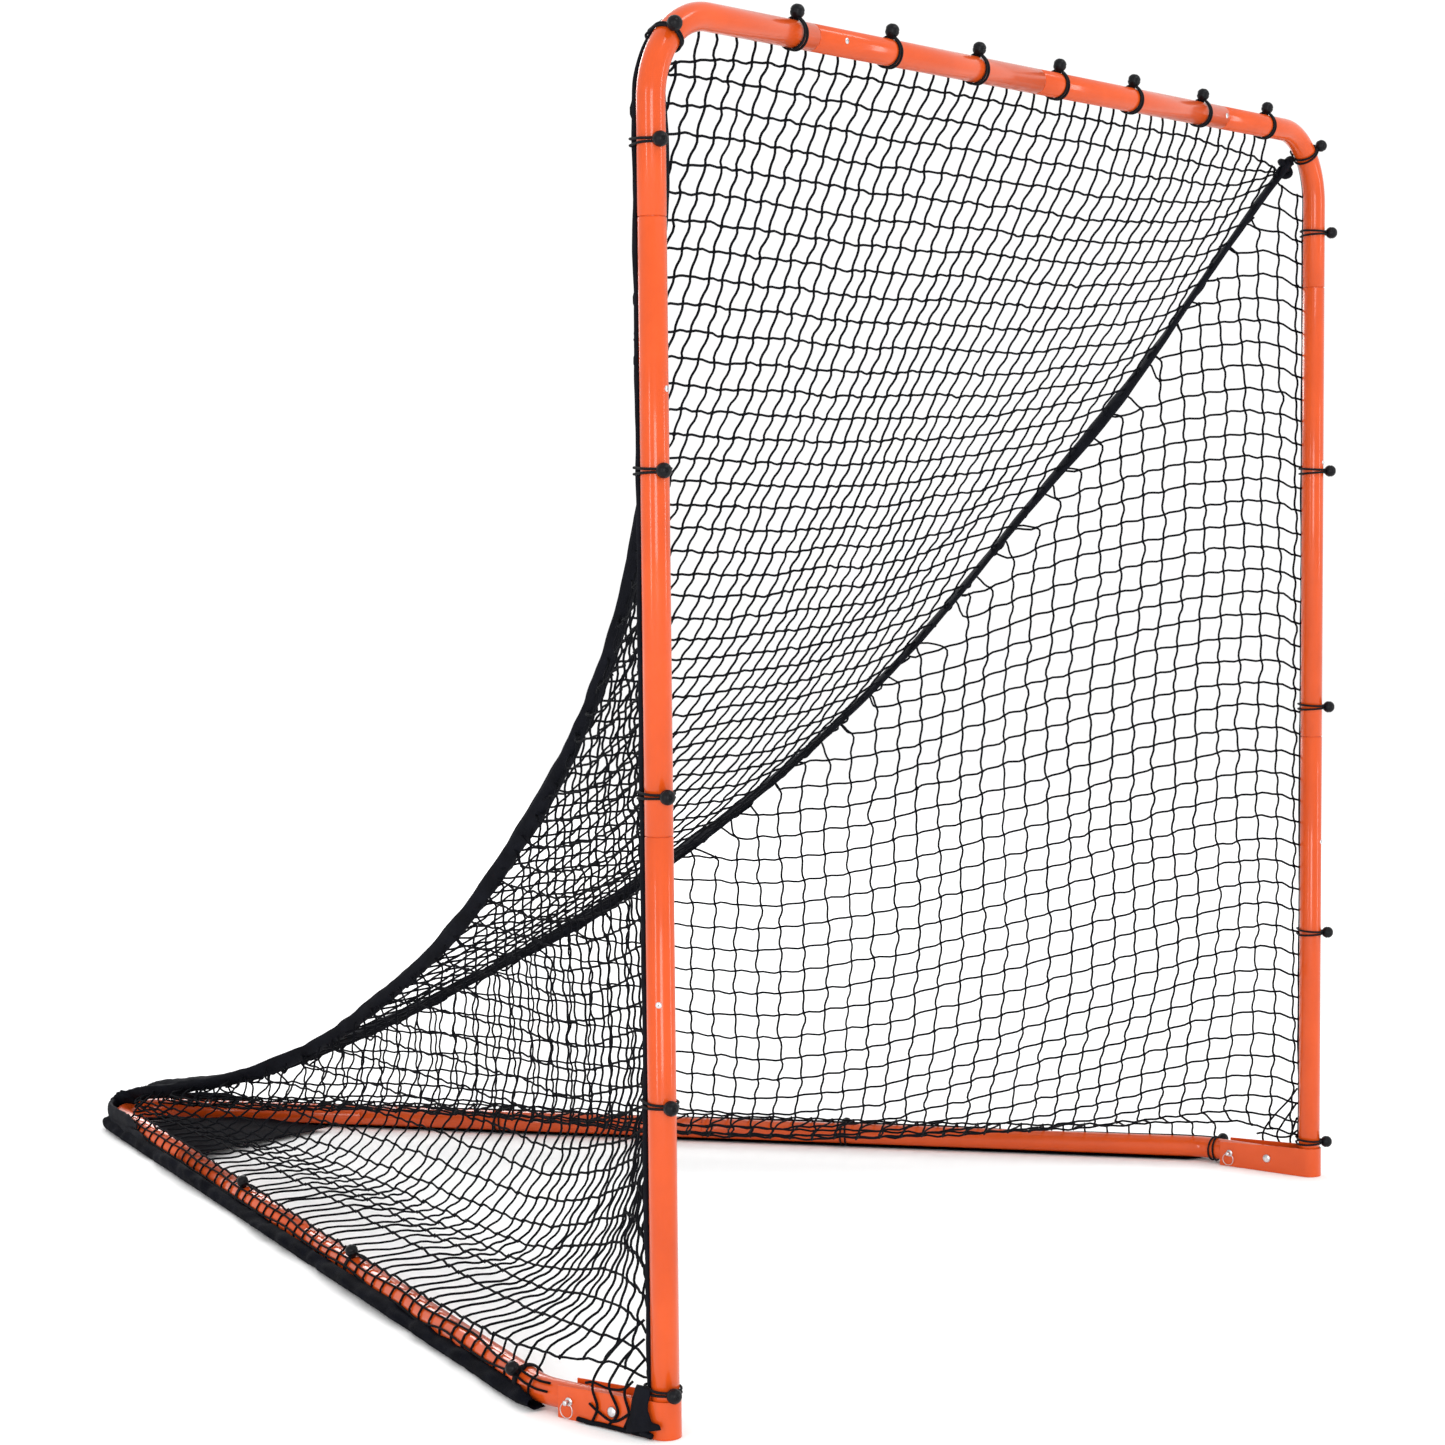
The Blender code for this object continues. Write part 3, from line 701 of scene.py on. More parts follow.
def turned_piece(name, profile, place, made, body, nodes=(), steps=40):
    """A solid of revolution about local Z from (radius, height) pairs, top to bottom."""
    verts = []
    faces = []
    rings = []
    for radius, height in profile:
        if radius < 1e-7:
            rings.append([len(verts)])
            verts.append((0.0, 0.0, height))
            continue
        first = len(verts)
        rings.append([first + i for i in range(steps)])
        verts += [
            (radius * cos(2 * pi * i / steps), radius * sin(2 * pi * i / steps), height)
            for i in range(steps)
        ]
    for upper, lower in zip(rings, rings[1:]):
        for i in range(steps):
            j = (i + 1) % steps
            if len(upper) == 1:
                faces.append([upper[0], lower[i], lower[j]])
            elif len(lower) == 1:
                faces.append([upper[i], lower[0], upper[j]])
            else:
                faces.append([upper[i], lower[i], lower[j], upper[j]])
    placed = [tuple(place @ Vector(v)) for v in verts]
    item = mesh_piece(name, placed, faces, made, None)
    item.data.set_sharp_from_angle(angle=radians(35))
    finish_piece(item, body, nodes)
    return item


ALONG_MINUS_X = Matrix.Rotation(radians(-90), 4, "Y")


def dome(radius, height, base, steps=8):
    return [
        (radius * sin(pi / 2 * i / steps), base + height * cos(pi / 2 * i / steps))
        for i in range(steps + 1)
    ]


def pivot_bolt(side, sign):
    """A round-headed bolt with three short arcs stamped on its head, and its nut."""
    place = Matrix.Translation(row(sign * POST_X, BOLT.y, FLOOR_TUBE_Z)) @ ALONG_MINUS_X
    tail = -SEAT - 0.009
    head = dome(0.0074, 0.0030, SEAT + 0.0011) + [
        (0.0075, SEAT + 0.0006),
        (0.0075, SEAT),
        (0.0040, SEAT),
        (0.0040, tail + 0.0005),
        (0.0035, tail),
        (0.0, tail),
    ]
    turned_piece(f"coach_bolt_{side}", head, place, ZINC, "front_frame", (f"pivot_bolt_{side}",))
    builder = Builder()
    for turn in (0.5, 2.4, 4.6):
        line = [
            place @ Vector((0.0052 * cos(turn + s), 0.0052 * sin(turn + s), SEAT + 0.0026))
            for s in np.linspace(0, 1.1, 8)
        ]
        add_tube(builder, [tuple(p) for p in line], 0.0004, 6)
    builder.piece(f"bolt_head_marks_{side}", ZINC, "front_frame", "zinc")
    nut = [
        (0.0042, -SEAT),
        (0.0066, -SEAT),
        (0.0074, -SEAT - 0.0008),
        (0.0074, -SEAT - 0.0052),
        (0.0066, -SEAT - 0.0060),
        (0.0042, -SEAT - 0.0060),
        (0.0042, -SEAT),
    ]
    turned_piece(f"hex_nut_{side}", nut, place, ZINC, "front_frame", (f"pivot_nut_{side}",), 6)


def lock_pin(side, sign):
    """A pin through both cheeks, with a cross hole in its head for the pull ring."""
    place = Matrix.Translation(row(sign * POST_X, PIN.y, FLOOR_TUBE_Z)) @ ALONG_MINUS_X
    tail = -SEAT - 0.006
    pin = dome(0.0035, 0.0012, SEAT + 0.0093, 4) + [
        (0.0035, SEAT + 0.0019),
        (0.0056, SEAT + 0.0015),
        (0.0060, SEAT + 0.0011),
        (0.0060, SEAT),
        (0.0030, SEAT),
        (0.0030, tail + 0.0012),
        (0.0018, tail),
        (0.0, tail),
    ]
    body = f"lock_pin_{side}"
    item = turned_piece(f"pull_pin_{side}", pin, place, ZINC, None)
    hole_x = sign * POST_X - SEAT - 0.0058
    cut(item, [drill(hole_x, PIN.y, FLOOR_TUBE_Z, RING_HOLE, 0.02, "X")])
    finish_piece(item, body, (body,))
    ring(side, row(hole_x, PIN.y, FLOOR_TUBE_Z))


def ring(side, hinge_point):
    """A double-wound split ring."""
    centre = np.array(tuple(hinge_point)) + np.array([0.0, 0.0, -RING_RADIUS])
    points = [
        centre + np.array([0.0005 * (t / (2 * pi) - 1), RING_RADIUS * sin(t), RING_RADIUS * cos(t)])
        for t in np.linspace(0, 4 * pi, 120)
    ]
    builder = Builder()
    add_tube(builder, points, 0.0006, 10)
    builder.piece(f"split_ring_{side}", ZINC, f"pull_ring_{side}", "zinc", (f"pull_ring_{side}",))


def screw(name, place, body):
    """A small round-headed screw set in the tube's wall, its crossed slot drawn as painted shade: a black
    cross laid on the head.
    """
    head = [(0.0, 0.0012)] + [(r, 0.0016 - 0.0011 * (r / 0.0042) ** 2) for r in (0.0010, 0.0022, 0.0034)]
    head += [(0.0042, 0.0002), (0.0042, -0.0010), (0.0, -0.0010)]
    turned_piece(name, head, place, ZINC, body, (), 28)
    # The crossed recess is painted shade: two thin tubes of black ball plastic lie on the zinc head where
    # the real screw has only a shaded hollow.
    builder = Builder()
    for turn in (0.4, 0.4 + pi / 2):
        arm = Vector((cos(turn), sin(turn), 0)) * 0.0020
        line = [place @ (arm * s + Vector((0, 0, 0.00125))) for s in (-1, -0.3, 0.3, 1)]
        add_tube(builder, [tuple(p) for p in line], 0.00035, 6)
    builder.piece(f"{name}_painted_shade_cross", BALL, body, "zinc")


def facing(direction):
    return Vector(direction).to_track_quat("Z", "Y").to_matrix().to_4x4()


def screws():
    surface = TUBE_RADIUS + 0.0001
    out = Vector((0, -1, 0))
    for name, x in (("left", -0.524), ("right", 0.574)):
        place = Matrix.Translation(row(x, 0, CROSSBAR_Z) + out * surface) @ facing(out)
        screw(f"screw_crossbar_{name}", place, "front_frame")
    for name, sign, z, lean in (
        ("left_upper", -1, 1.38, 0.15),
        ("left_lower", -1, 0.58, -1.75),
        ("right_upper", 1, 1.29, 0.15),
        ("right_lower", 1, 0.61, 0.15),
    ):
        out = Vector((lean, -1, 0)).normalized()
        place = Matrix.Translation(row(sign * POST_X, 0, z) + out * surface) @ facing(out)
        screw(f"screw_post_{name}", place, "front_frame")
    for name, sign, y in (("left_middle", -1, 1.13), ("left_rear", -1, 1.90), ("right_rear", 1, 2.00)):
        across = Vector((sign * cos(SIDE_ANGLE), sin(SIDE_ANGLE), 0.0))
        out = (Vector((0, 0, 1)) - 0.55 * across).normalized()
        place = Matrix.Translation(floor_point(sign, y) + out * surface) @ facing(out)
        screw(f"screw_floor_{name}", place, "base_frame")


# ---------------------------------------------------------------- bungees


def loop_point(turn, held, cord):
    """A point of a loop drawn tight round the tube and round the edge cord beside it, if there's one."""
    normal = np.array([cos(turn), sin(turn)])
    reach = TUBE_RADIUS + cord + 0.0005
    beside = EDGE_RADIUS + cord + 0.0003
    if held is not None and normal @ held + beside > reach:
        return held + normal * beside
    return normal * reach


def bungee(name, centre, along, ball_direction, body, node, held=None):
    """An elastic cord doubled round the tube, both strands knotted through a moulded ball."""
    centre = np.array(tuple(centre))
    along = Vector(along).normalized()
    out = Vector(ball_direction)
    out = (out - along * out.dot(along)).normalized()
    side = along.cross(out)
    along, out, side = (np.array(tuple(v)) for v in (along, out, side))
    cord = ELASTIC_RADIUS
    reach = TUBE_RADIUS + cord + 0.0006
    if held is not None:
        held = np.array([out @ np.array(held), side @ np.array(held)])
    builder = Builder()
    for hand in (-1, 1):
        turns = np.linspace(radians(14), radians(346), LOOP_POINTS)
        flat = [loop_point(t, held, cord) for t in turns]
        flat = [
            np.array([a * (1.0 + 0.10 * exp(-((min(t, 2 * pi - t) / 0.4) ** 2))), b])
            for (a, b), t in zip(flat, turns)
        ]
        flat = resample(flat, LOOP_POINTS)
        spread_out = 0.0021 + 0.0026 * np.sin(np.linspace(0, pi, LOOP_POINTS)) ** 2
        loop = [centre + out * a + side * b + along * hand * w for (a, b), w in zip(flat, spread_out)]
        neck = centre + out * (reach + 0.0035) + along * hand * 0.0008
        loop = [neck] + loop + [neck + side * -0.0002]
        add_tube(builder, np.array(loop), cord, 10)
    builder.piece(f"elastic_{name}", ELASTIC, body, "bungee")
    place = Matrix((Vector(side), Vector(along), Vector(out))).transposed().to_4x4()
    place = Matrix.Translation(Vector(centre)) @ place
    radius = BALL_RADIUS
    middle_height = BALL_REACH
    profile = [(0.0, middle_height + radius - 0.0016), (0.0018, middle_height + radius - 0.0014)]
    profile += [(0.0026, middle_height + radius - 0.0004)]
    for degrees in range(18, 156, 6):
        angle = radians(degrees)
        groove = 0.0005 if 84 <= degrees <= 90 else 0.0
        profile.append(((radius - groove) * sin(angle), middle_height + radius * cos(angle)))
    profile += [(0.0042, middle_height - radius - 0.0004), (0.0040, middle_height - radius - 0.0024)]
    profile += [(0.0, middle_height - radius - 0.0024)]
    turned_piece(f"ball_{name}", profile, place, BALL, body, (node,), 32)


# Which way the balls point, and where the loops sit on the posts and the floor tubes
POST_BALL = Vector((0.48, -0.877, 0.0))
CORNER_BALL = Vector((0.45, -0.77, 0.45))
CROSSBAR_BALL = Vector((0.0, -0.2, 0.98))
POST_LOOP_HEIGHTS = (0.062, 0.445, 0.853, 1.275, 1.696)
CROSSBAR_LOOPS = 7
FLOOR_LOOPS = (
    ("floor_left_rear", -1, 1.380, Vector((-0.3, 0.0, 0.95))),
    ("floor_left_middle", -1, 0.880, Vector((-0.3, 0.0, 0.95))),
    ("floor_left_front", -1, 0.262, Vector((-0.8, 0.0, 0.6))),
    ("floor_right_rear", 1, 1.451, Vector((0.9, 0.0, 0.44))),
    ("floor_right_middle", 1, 0.830, Vector((0.9, 0.0, 0.44))),
    ("floor_right_front", 1, 0.190, Vector((0.9, 0.0, 0.44))),
)


def all_bungees():
    out = Vector((1, 0, 0))
    up = Vector((0, 0, 1))
    for index in range(1, CROSSBAR_LOOPS + 1):
        name = f"crossbar_{index}"
        x = middle(f"bungee_{name}").x
        held = (0.0, EDGE_BEHIND, EDGE_OUT)
        bungee(name, row(x, 0, CROSSBAR_Z), out, CROSSBAR_BALL, "front_frame", f"bungee_{name}", held)
    inset = CORNER_BEND * (1 - cos(radians(45)))
    for side, sign in SIDES:
        mirror = Vector((sign, 1, 1))
        centre = row(sign * (POST_X - inset), 0, CROSSBAR_Z - inset)
        name = f"corner_{side}"
        slant = EDGE_OUT * sqrt(0.5)
        held = (sign * slant, EDGE_BEHIND, slant)
        bungee(name, centre, out * sign - up, CORNER_BALL * mirror, "front_frame", f"bungee_{name}", held)
        for index, z in enumerate(POST_LOOP_HEIGHTS, start=1):
            name = f"post_{side}_{index}"
            centre = row(sign * POST_X, 0, z)
            held = (sign * EDGE_OUT, EDGE_BEHIND, 0.0)
            bungee(name, centre, up, POST_BALL * mirror, "front_frame", f"bungee_{name}", held)
    for name, sign, y, ball in FLOOR_LOOPS:
        along = Vector((0, 1, 0))
        if y > KNEE_Y:
            along = Vector((-sign * sin(SIDE_ANGLE), cos(SIDE_ANGLE), 0))
        bungee(name, floor_point(sign, y), along, ball, "base_frame", f"bungee_{name}")


# ---------------------------------------------------------------- net


SEAM_CURVE = spline(SEAM_ROUTE, 12)

# The back panel's middle line: distance behind the posts and height
BACK_ROUTE = np.array(
    [
        (0.0245, 1.848),
        (0.082, 1.700),
        (0.180, 1.500),
        (0.290, 1.300),
        (0.417, 1.100),
        (0.569, 0.900),
        (0.706, 0.750),
        (0.871, 0.600),
        (1.030, 0.485),
        (1.290, 0.338),
        (1.520, 0.222),
        (1.760, 0.132),
    ]
)
BACK_GATHER = 0.15
BACK_SEAM_START = 0.085
BACK_SEAM_SKEW = 0.035
BACK_SEAM_RATE = 1.12


def path_lengths(curve):
    return np.concatenate([[0.0], np.cumsum(np.linalg.norm(np.diff(curve, axis=0), axis=1))])


def along_curve(curve, distance):
    """Points of a curve at distances from its start."""
    lengths = path_lengths(curve)
    return np.array([np.interp(distance, lengths, curve[:, k]) for k in range(curve.shape[1])]).T


def wavy_line(knots, amplitude, sway, generator, per_span, phase):
    """A strand through its knots: it leaves each knot at a slant, so every span is a shallow S."""
    knots = np.asarray(knots, float)
    curve = spline(knots, per_span)
    spans = len(knots) - 1
    t = np.arange(len(curve)) / per_span
    span = np.minimum(t.astype(int), spans - 1)
    local = t - span
    slack = np.clip((np.linalg.norm(np.diff(knots, axis=0), axis=1) / MESH_SIZE - 0.4) / 0.4, 0, 1)[span]
    straight = knots[span] * (1 - local)[:, None] + knots[span + 1] * local[:, None]
    curve = straight + (curve - straight) * slack[:, None]
    size = amplitude * slack * (0.55 + 0.9 * generator.random(spans))[span]
    sag = sway * slack * generator.standard_normal(spans)[span]
    tangent = np.gradient(curve, axis=0)
    tangent /= np.linalg.norm(tangent, axis=1)[:, None] + 1e-12
    side = np.cross(tangent, np.broadcast_to(phase, tangent.shape))
    side /= np.linalg.norm(side, axis=1)[:, None] + 1e-12
    curve = curve + side * (size * np.sin(2 * pi * local))[:, None]
    return curve + side * (sag * np.sin(pi * local))[:, None]


def knot_shape():
    ball = bmesh.new()
    bmesh.ops.create_icosphere(ball, subdivisions=1, radius=1.0)
    verts = np.array([tuple(v.co) for v in ball.verts])
    faces = np.array([[v.index for v in f.verts] for f in ball.faces])
    ball.free()
    return verts, faces


KNOT_VERTS, KNOT_FACES = knot_shape()


def add_knots(builder, places, generator):
    """Small tight knots of uneven shape."""
    count = len(places)
    size = KNOT_RADIUS * (0.85 + 0.3 * generator.random((count, 1)))
    stretch = 1.0 + 0.28 * generator.standard_normal((count, 3)).clip(-1, 1)
    shapes = KNOT_VERTS[None] * (size * stretch)[:, None, :] + places[:, None, :]
    faces = KNOT_FACES[None] + (np.arange(count) * len(KNOT_VERTS))[:, None, None]
    builder.add(shapes.reshape(-1, 3), faces.reshape(-1, 3))


def lines_of(mask):
    """Runs of True in a line, as (first, last) pairs."""
    runs = []
    start = None
    for index, value in enumerate(list(mask) + [False]):
        if value and start is None:
            start = index
        if not value and start is not None:
            runs.append((start, index - 1))
            start = None
    return runs


def nearest_seam(point, sign, generator):
    """The nearest point of the seam to a knot, a little way further down it."""
    mirrored = SEAM_CURVE * np.array([sign, 1, 1])
    index = int(np.argmin(np.linalg.norm(mirrored - point, axis=1)))
    index = min(index + int(generator.integers(0, 2)), len(mirrored) - 1)
    return mirrored[index] + generator.standard_normal(3) * END_SCATTER


def back_grid(generator):
    """Knots of the back panel in rows from the crossbar down, which are inside, and the rows' ends."""
    middle_line = spline(np.column_stack([np.zeros(len(BACK_ROUTE)), BACK_ROUTE]), 12)
    rows = int(path_lengths(middle_line)[-1] / MESH_SIZE)
    down = (np.arange(rows) + 0.45) * MESH_SIZE
    middles = along_curve(middle_line, down)
    left, right = (
        along_curve(SEAM_CURVE, BACK_SEAM_RATE * np.maximum(down - BACK_SEAM_START - skew, 0))
        for skew in (-BACK_SEAM_SKEW, BACK_SEAM_SKEW)
    )
    columns = int(POST_X / MESH_SIZE)
    flat = np.arange(-columns, columns + 1) * MESH_SIZE
    shape = (rows, len(flat))
    wide, wide2 = smooth_noise(generator, shape, (7, 7)), smooth_noise(generator, shape, (6, 6))
    fine, fine2 = smooth_noise(generator, shape, (1.6, 1.6)), smooth_noise(generator, shape, (1.6, 1.6))
    depth = smooth_noise(generator, shape, (6, 6))
    across = flat[None, :] * (1 - BACK_GATHER * down)[:, None]
    ends = np.where((across < 0)[:, :, None], left[:, None], right[:, None])
    share = np.clip(np.abs(across) / ends[:, :, 0], 0, 1)
    power = 2.6 + 5 * np.exp(-down / 0.15)[:, None]
    hang = 1 - share**power
    calm = np.clip(3 * (1 - share**2), 0, 1) * np.clip(down / (3 * MESH_SIZE), 0, 1)[:, None]
    points = np.zeros(shape + (3,))
    points[:, :, 0] = across + (0.004 * wide + 0.0026 * fine) * calm
    for axis, noise_size in ((1, 0.010 * depth), (2, 0.0045 * wide2 + 0.0022 * fine2)):
        points[:, :, axis] = ends[:, :, axis] * (1 - hang) + middles[:, axis : axis + 1] * hang
        points[:, :, axis] += noise_size * calm
    points += KNOT_SCATTER * generator.standard_normal(points.shape)
    inside = np.abs(across) < ends[:, :, 0] - 0.010
    return flat, points, inside, left * np.array([-1, 1, 1]), right


def back_net(generator):
    flat, points, inside, left, right = back_grid(generator)
    rows_builder, columns_builder = Builder(), Builder()
    for line_points, mask, *ends in zip(points, inside, left, right):
        for first, last in lines_of(mask):
            tips = [end + generator.standard_normal(3) * END_SCATTER for end in ends]
            line = [tips[0], *line_points[first : last + 1], tips[1]]
            curve = wavy_line(line, 0.0012, 0.0010, generator, 4, (0.0, 0.7, 0.7))
            add_tube(rows_builder, curve + SHIFT, TWINE_RADIUS, 6)
    straight = POST_X - CORNER_BEND
    for i, x in enumerate(flat):
        side = np.sign(x) or 1
        for first, last in lines_of(inside[:, i]):
            line = list(points[first : last + 1, i])
            if first == 0 and abs(x) < straight:
                top = np.array([x, EDGE_BEHIND - 0.001, CROSSBAR_Z + EDGE_OUT])
                low = np.array([x + generator.normal() * 0.002, 0.0265, CROSSBAR_Z - 0.014])
                line = [top, low] + line
            else:
                line = [nearest_seam(line[0], side, generator)] + line
            if last < len(points) - 1:
                line = line + [nearest_seam(line[-1], side, generator)]
            curve = wavy_line(line, 0.0026, 0.0018, generator, 5, (0.0, 0.75, 0.66))
            add_tube(columns_builder, curve + SHIFT, TWINE_RADIUS, 6)
    add_knots(rows_builder, points[inside] + SHIFT, generator)
    return [
        rows_builder.piece("back_net_rows", TWINE, None, "net_twine", ("back_net",)),
        columns_builder.piece("back_net_columns", TWINE, None, "net_twine", ("back_net",)),
    ]


# A side panel's rows leave the post between two heights and sink toward the floor further back
SIDE_LOW, SIDE_HIGH = 0.045, 1.795
SIDE_FLOOR = 0.051
SIDE_FALL = 0.19
SIDE_LIFT = 0.020
SIDE_CRUSH = 0.035
SIDE_REAR_Y = 2.04

# They also swing inward, less so low on the post, and the lowest ones follow the floor tube
SIDE_TURN = radians(67)
SIDE_TURN_LOSS = 0.40
SIDE_TURN_HEIGHT = 0.34
SIDE_BEND_REACH = 0.38
SIDE_PULL_RATE = 32.0


def side_height(start, run):
    """Height of a side row that starts at a height on the post, at a distance back from it."""
    step = np.clip(run, 0, 1)
    fall = SIDE_FALL * step * step * (3 - 2 * step) - SIDE_LIFT * (1 - np.exp(-run / 0.04))
    return SIDE_FLOOR + SIDE_CRUSH * np.log1p(np.exp((start - SIDE_FLOOR - fall) / SIDE_CRUSH))


def side_row(start, samples=240):
    """One row of a side panel, from the post to the seam: it swings inward, then back."""
    post = np.array([POST_X - 0.005, 0.031])
    runs = np.linalg.norm(SEAM_CURVE[:, :2] - post, axis=1)
    above = SEAM_CURVE[:, 2] >= side_height(start, runs)
    last = int(np.nonzero(above)[0][-1]) if above.any() else 0
    seam = SEAM_CURVE[last]
    run = runs[last]
    rise = (start - SIDE_LOW) / (SIDE_HIGH - SIDE_LOW)
    share = np.linspace(0, 1, samples)[:, None]
    angle = SIDE_TURN * (1 - SIDE_TURN_LOSS * exp(-((start / SIDE_TURN_HEIGHT) ** 2)))
    bend = post + np.array([-sin(angle), cos(angle)]) * SIDE_BEND_REACH * run
    plan = post * (1 - share) ** 2 + 2 * bend * share * (1 - share) + seam[:2] * share**2
    floor_line = np.array(
        [
            (POST_X - 0.004, 0.031),
            (POST_X, 0.190),
            (floor_half_width(0.300), 0.300),
            (floor_half_width(SIDE_REAR_Y), SIDE_REAR_Y),
        ]
    )
    floor_plan = along_curve(floor_line, share[:, 0] * path_lengths(floor_line)[-1])
    pull = exp(-SIDE_PULL_RATE * rise) * (1.0 - rise)
    plan = plan * (1 - pull) + floor_plan * pull
    back = path_lengths(plan)
    return np.column_stack([plan, side_height(start, back)])


def side_grid(generator):
    starts = np.arange(SIDE_LOW, SIDE_HIGH, MESH_SIZE)
    curves = [side_row(start) for start in starts]
    ends = np.array([path_lengths(curve)[-1] for curve in curves])
    longest = int(ends.max() / MESH_SIZE)
    at = np.arange(longest + 1) * MESH_SIZE
    shape = (len(starts), len(at))
    wide, wide2 = smooth_noise(generator, shape, (6, 6)), smooth_noise(generator, shape, (6, 6))
    fine, fine2 = smooth_noise(generator, shape, (1.5, 1.5)), smooth_noise(generator, shape, (1.5, 1.5))
    depth = smooth_noise(generator, shape, (5, 5))
    from_post = np.clip(np.arange(len(at)) / 3.0, 0, 1)[None, :]
    from_floor = np.clip(np.arange(len(starts)) / 5.0, 0.12, 1)[:, None]
    reach = at[None, :] + (0.004 * wide + 0.0026 * fine) * from_post
    points = np.array([along_curve(curve, row_reach) for curve, row_reach in zip(curves, reach)])
    points[:, :, 2] += (0.0055 * wide2 + 0.0024 * fine2) * from_post * from_floor
    points[:, :, 0] += 0.010 * depth * from_post * from_floor
    points += KNOT_SCATTER * generator.standard_normal(points.shape)
    inside = at[None, :] < ends[:, None] - 0.014
    return points, inside


def side_net(side, sign, generator):
    points, inside = side_grid(generator)
    points[:, :, 0] *= sign
    rows, columns = inside.shape
    rows_builder, columns_builder = Builder(), Builder()
    phase = (0.6, 0.8, 0.0)
    for j in range(rows):
        for first, last in lines_of(inside[j]):
            line = list(points[j, first : last + 1]) + [nearest_seam(points[j, last], sign, generator)]
            if first == 0:
                tie = np.array([sign * (POST_X + EDGE_OUT), EDGE_BEHIND, line[0][2] - 0.004])
                line = [tie] + line
            curve = wavy_line(line, 0.0012, 0.0011, generator, 4, phase)
            add_tube(rows_builder, curve + SHIFT, TWINE_RADIUS, 6)
    for i in range(columns):
        for first, last in lines_of(inside[:, i]):
            line = list(points[first : last + 1, i])
            if last < rows - 1:
                line = line + [nearest_seam(line[-1], sign, generator)]
            if first == 0:
                line = over_tube(line[0], sign, generator) + line
            curve = wavy_line(line, 0.0017, 0.0016, generator, 5, phase)
            add_tube(columns_builder, curve + SHIFT, TWINE_RADIUS, 6)
    add_knots(rows_builder, points[inside] + SHIFT, generator)
    fold_in_cells(rows_builder, f"side_net_{side}_rows", f"side_net_{side}")
    fold_in_cells(columns_builder, f"side_net_{side}_columns", f"side_net_{side}")


def round_tube(sign, y, degrees, reach):
    """A point round a floor tube, at an angle up from its outer side."""
    across = np.array([sign * cos(SIDE_ANGLE), sin(SIDE_ANGLE), 0.0])
    if y < KNEE_Y:
        across = np.array([sign, 0.0, 0.0])
    angle = radians(degrees)
    centre = np.array([sign * floor_half_width(y), y, FLOOR_TUBE_Z])
    return centre + across * reach * cos(angle) + np.array([0.0, 0.0, reach * sin(angle)])


def over_tube(start, sign, generator):
    """The way a column goes from the hem over the outer side of the floor tube to the lowest row."""
    reach = TUBE_RADIUS + TWINE_RADIUS + 0.0006
    y = start[1]
    if y < BRACKET_REAR + 0.015:
        return []
    lean = generator.normal() * 0.003
    return [round_tube(sign, y + lean * (1 - k / 4), d, reach) for k, d in enumerate((-42, -12, 18, 48, 72))]


def tube_strands(side, sign, generator):
    """Two meshes of the net's hem that lie lengthwise on the floor tube."""
    builder = Builder()
    reach = TUBE_RADIUS + TWINE_RADIUS + 0.0008
    for degrees in (10, 52):
        steps = np.arange(BRACKET_REAR + 0.02, 2.03, MESH_SIZE / 2)
        swing = 7 * smooth_noise(generator, (len(steps), 1), (2.0, 0))[:, 0]
        line = [round_tube(sign, y, degrees + s, reach) for y, s in zip(steps, swing)]
        add_tube(builder, spline(line, 2) + SHIFT, TWINE_RADIUS, 6)
    builder.piece(f"tube_strands_{side}", TWINE, "base_frame", "net_twine")


def foot_strands(side, sign, generator):
    """The net's corner over the outside of the bracket: slack meshes down to a cord at the ground."""
    builder = Builder()
    x = sign * (POST_X + CHEEK_OUTER + TWINE_RADIUS + 0.0008)
    cord = sign * (POST_X + 0.0075)
    near = [(cord, 0.0285, 0.100), (x - sign * 0.005, 0.040, 0.082), (x, 0.048, 0.064), (x, 0.050, 0.050)]
    near += [(x, 0.043, 0.027), (x, 0.052, 0.006)]
    mid = [(cord, 0.0285, 0.128), (x - sign * 0.003, 0.049, 0.105), (x, 0.067, 0.080), (x, 0.077, 0.058)]
    mid += [(x, 0.062, 0.027), (x, 0.079, 0.006)]
    far = [(cord, 0.0285, 0.154), (x - sign * 0.002, 0.053, 0.127), (x, 0.080, 0.098), (x, 0.101, 0.070)]
    far += [(x, 0.106, 0.050), (x, 0.098, 0.027), (x, 0.107, 0.006)]
    across = [(x, 0.030, 0.042), (x, 0.046, 0.026), (x, 0.071, 0.0125), (x, 0.098, 0.022), (x, 0.112, 0.030)]
    above = [(x, 0.036, 0.073), (x, 0.052, 0.060), (x, 0.077, 0.056), (x, 0.104, 0.060), (x, 0.118, 0.057)]
    for line in (near, mid, far, across, above):
        add_tube(builder, spline(line, 5) + SHIFT, TWINE_RADIUS, 6)
    steps = np.linspace(0.006, 0.134, 12)
    line = [(x - sign * 0.001, y, 0.0042 + generator.normal() * 0.0004) for y in steps]
    add_tube(builder, spline(line, 3) + SHIFT, 0.0034, 8)
    builder.piece(f"foot_strands_{side}", TWINE, "front_frame", "net_twine")


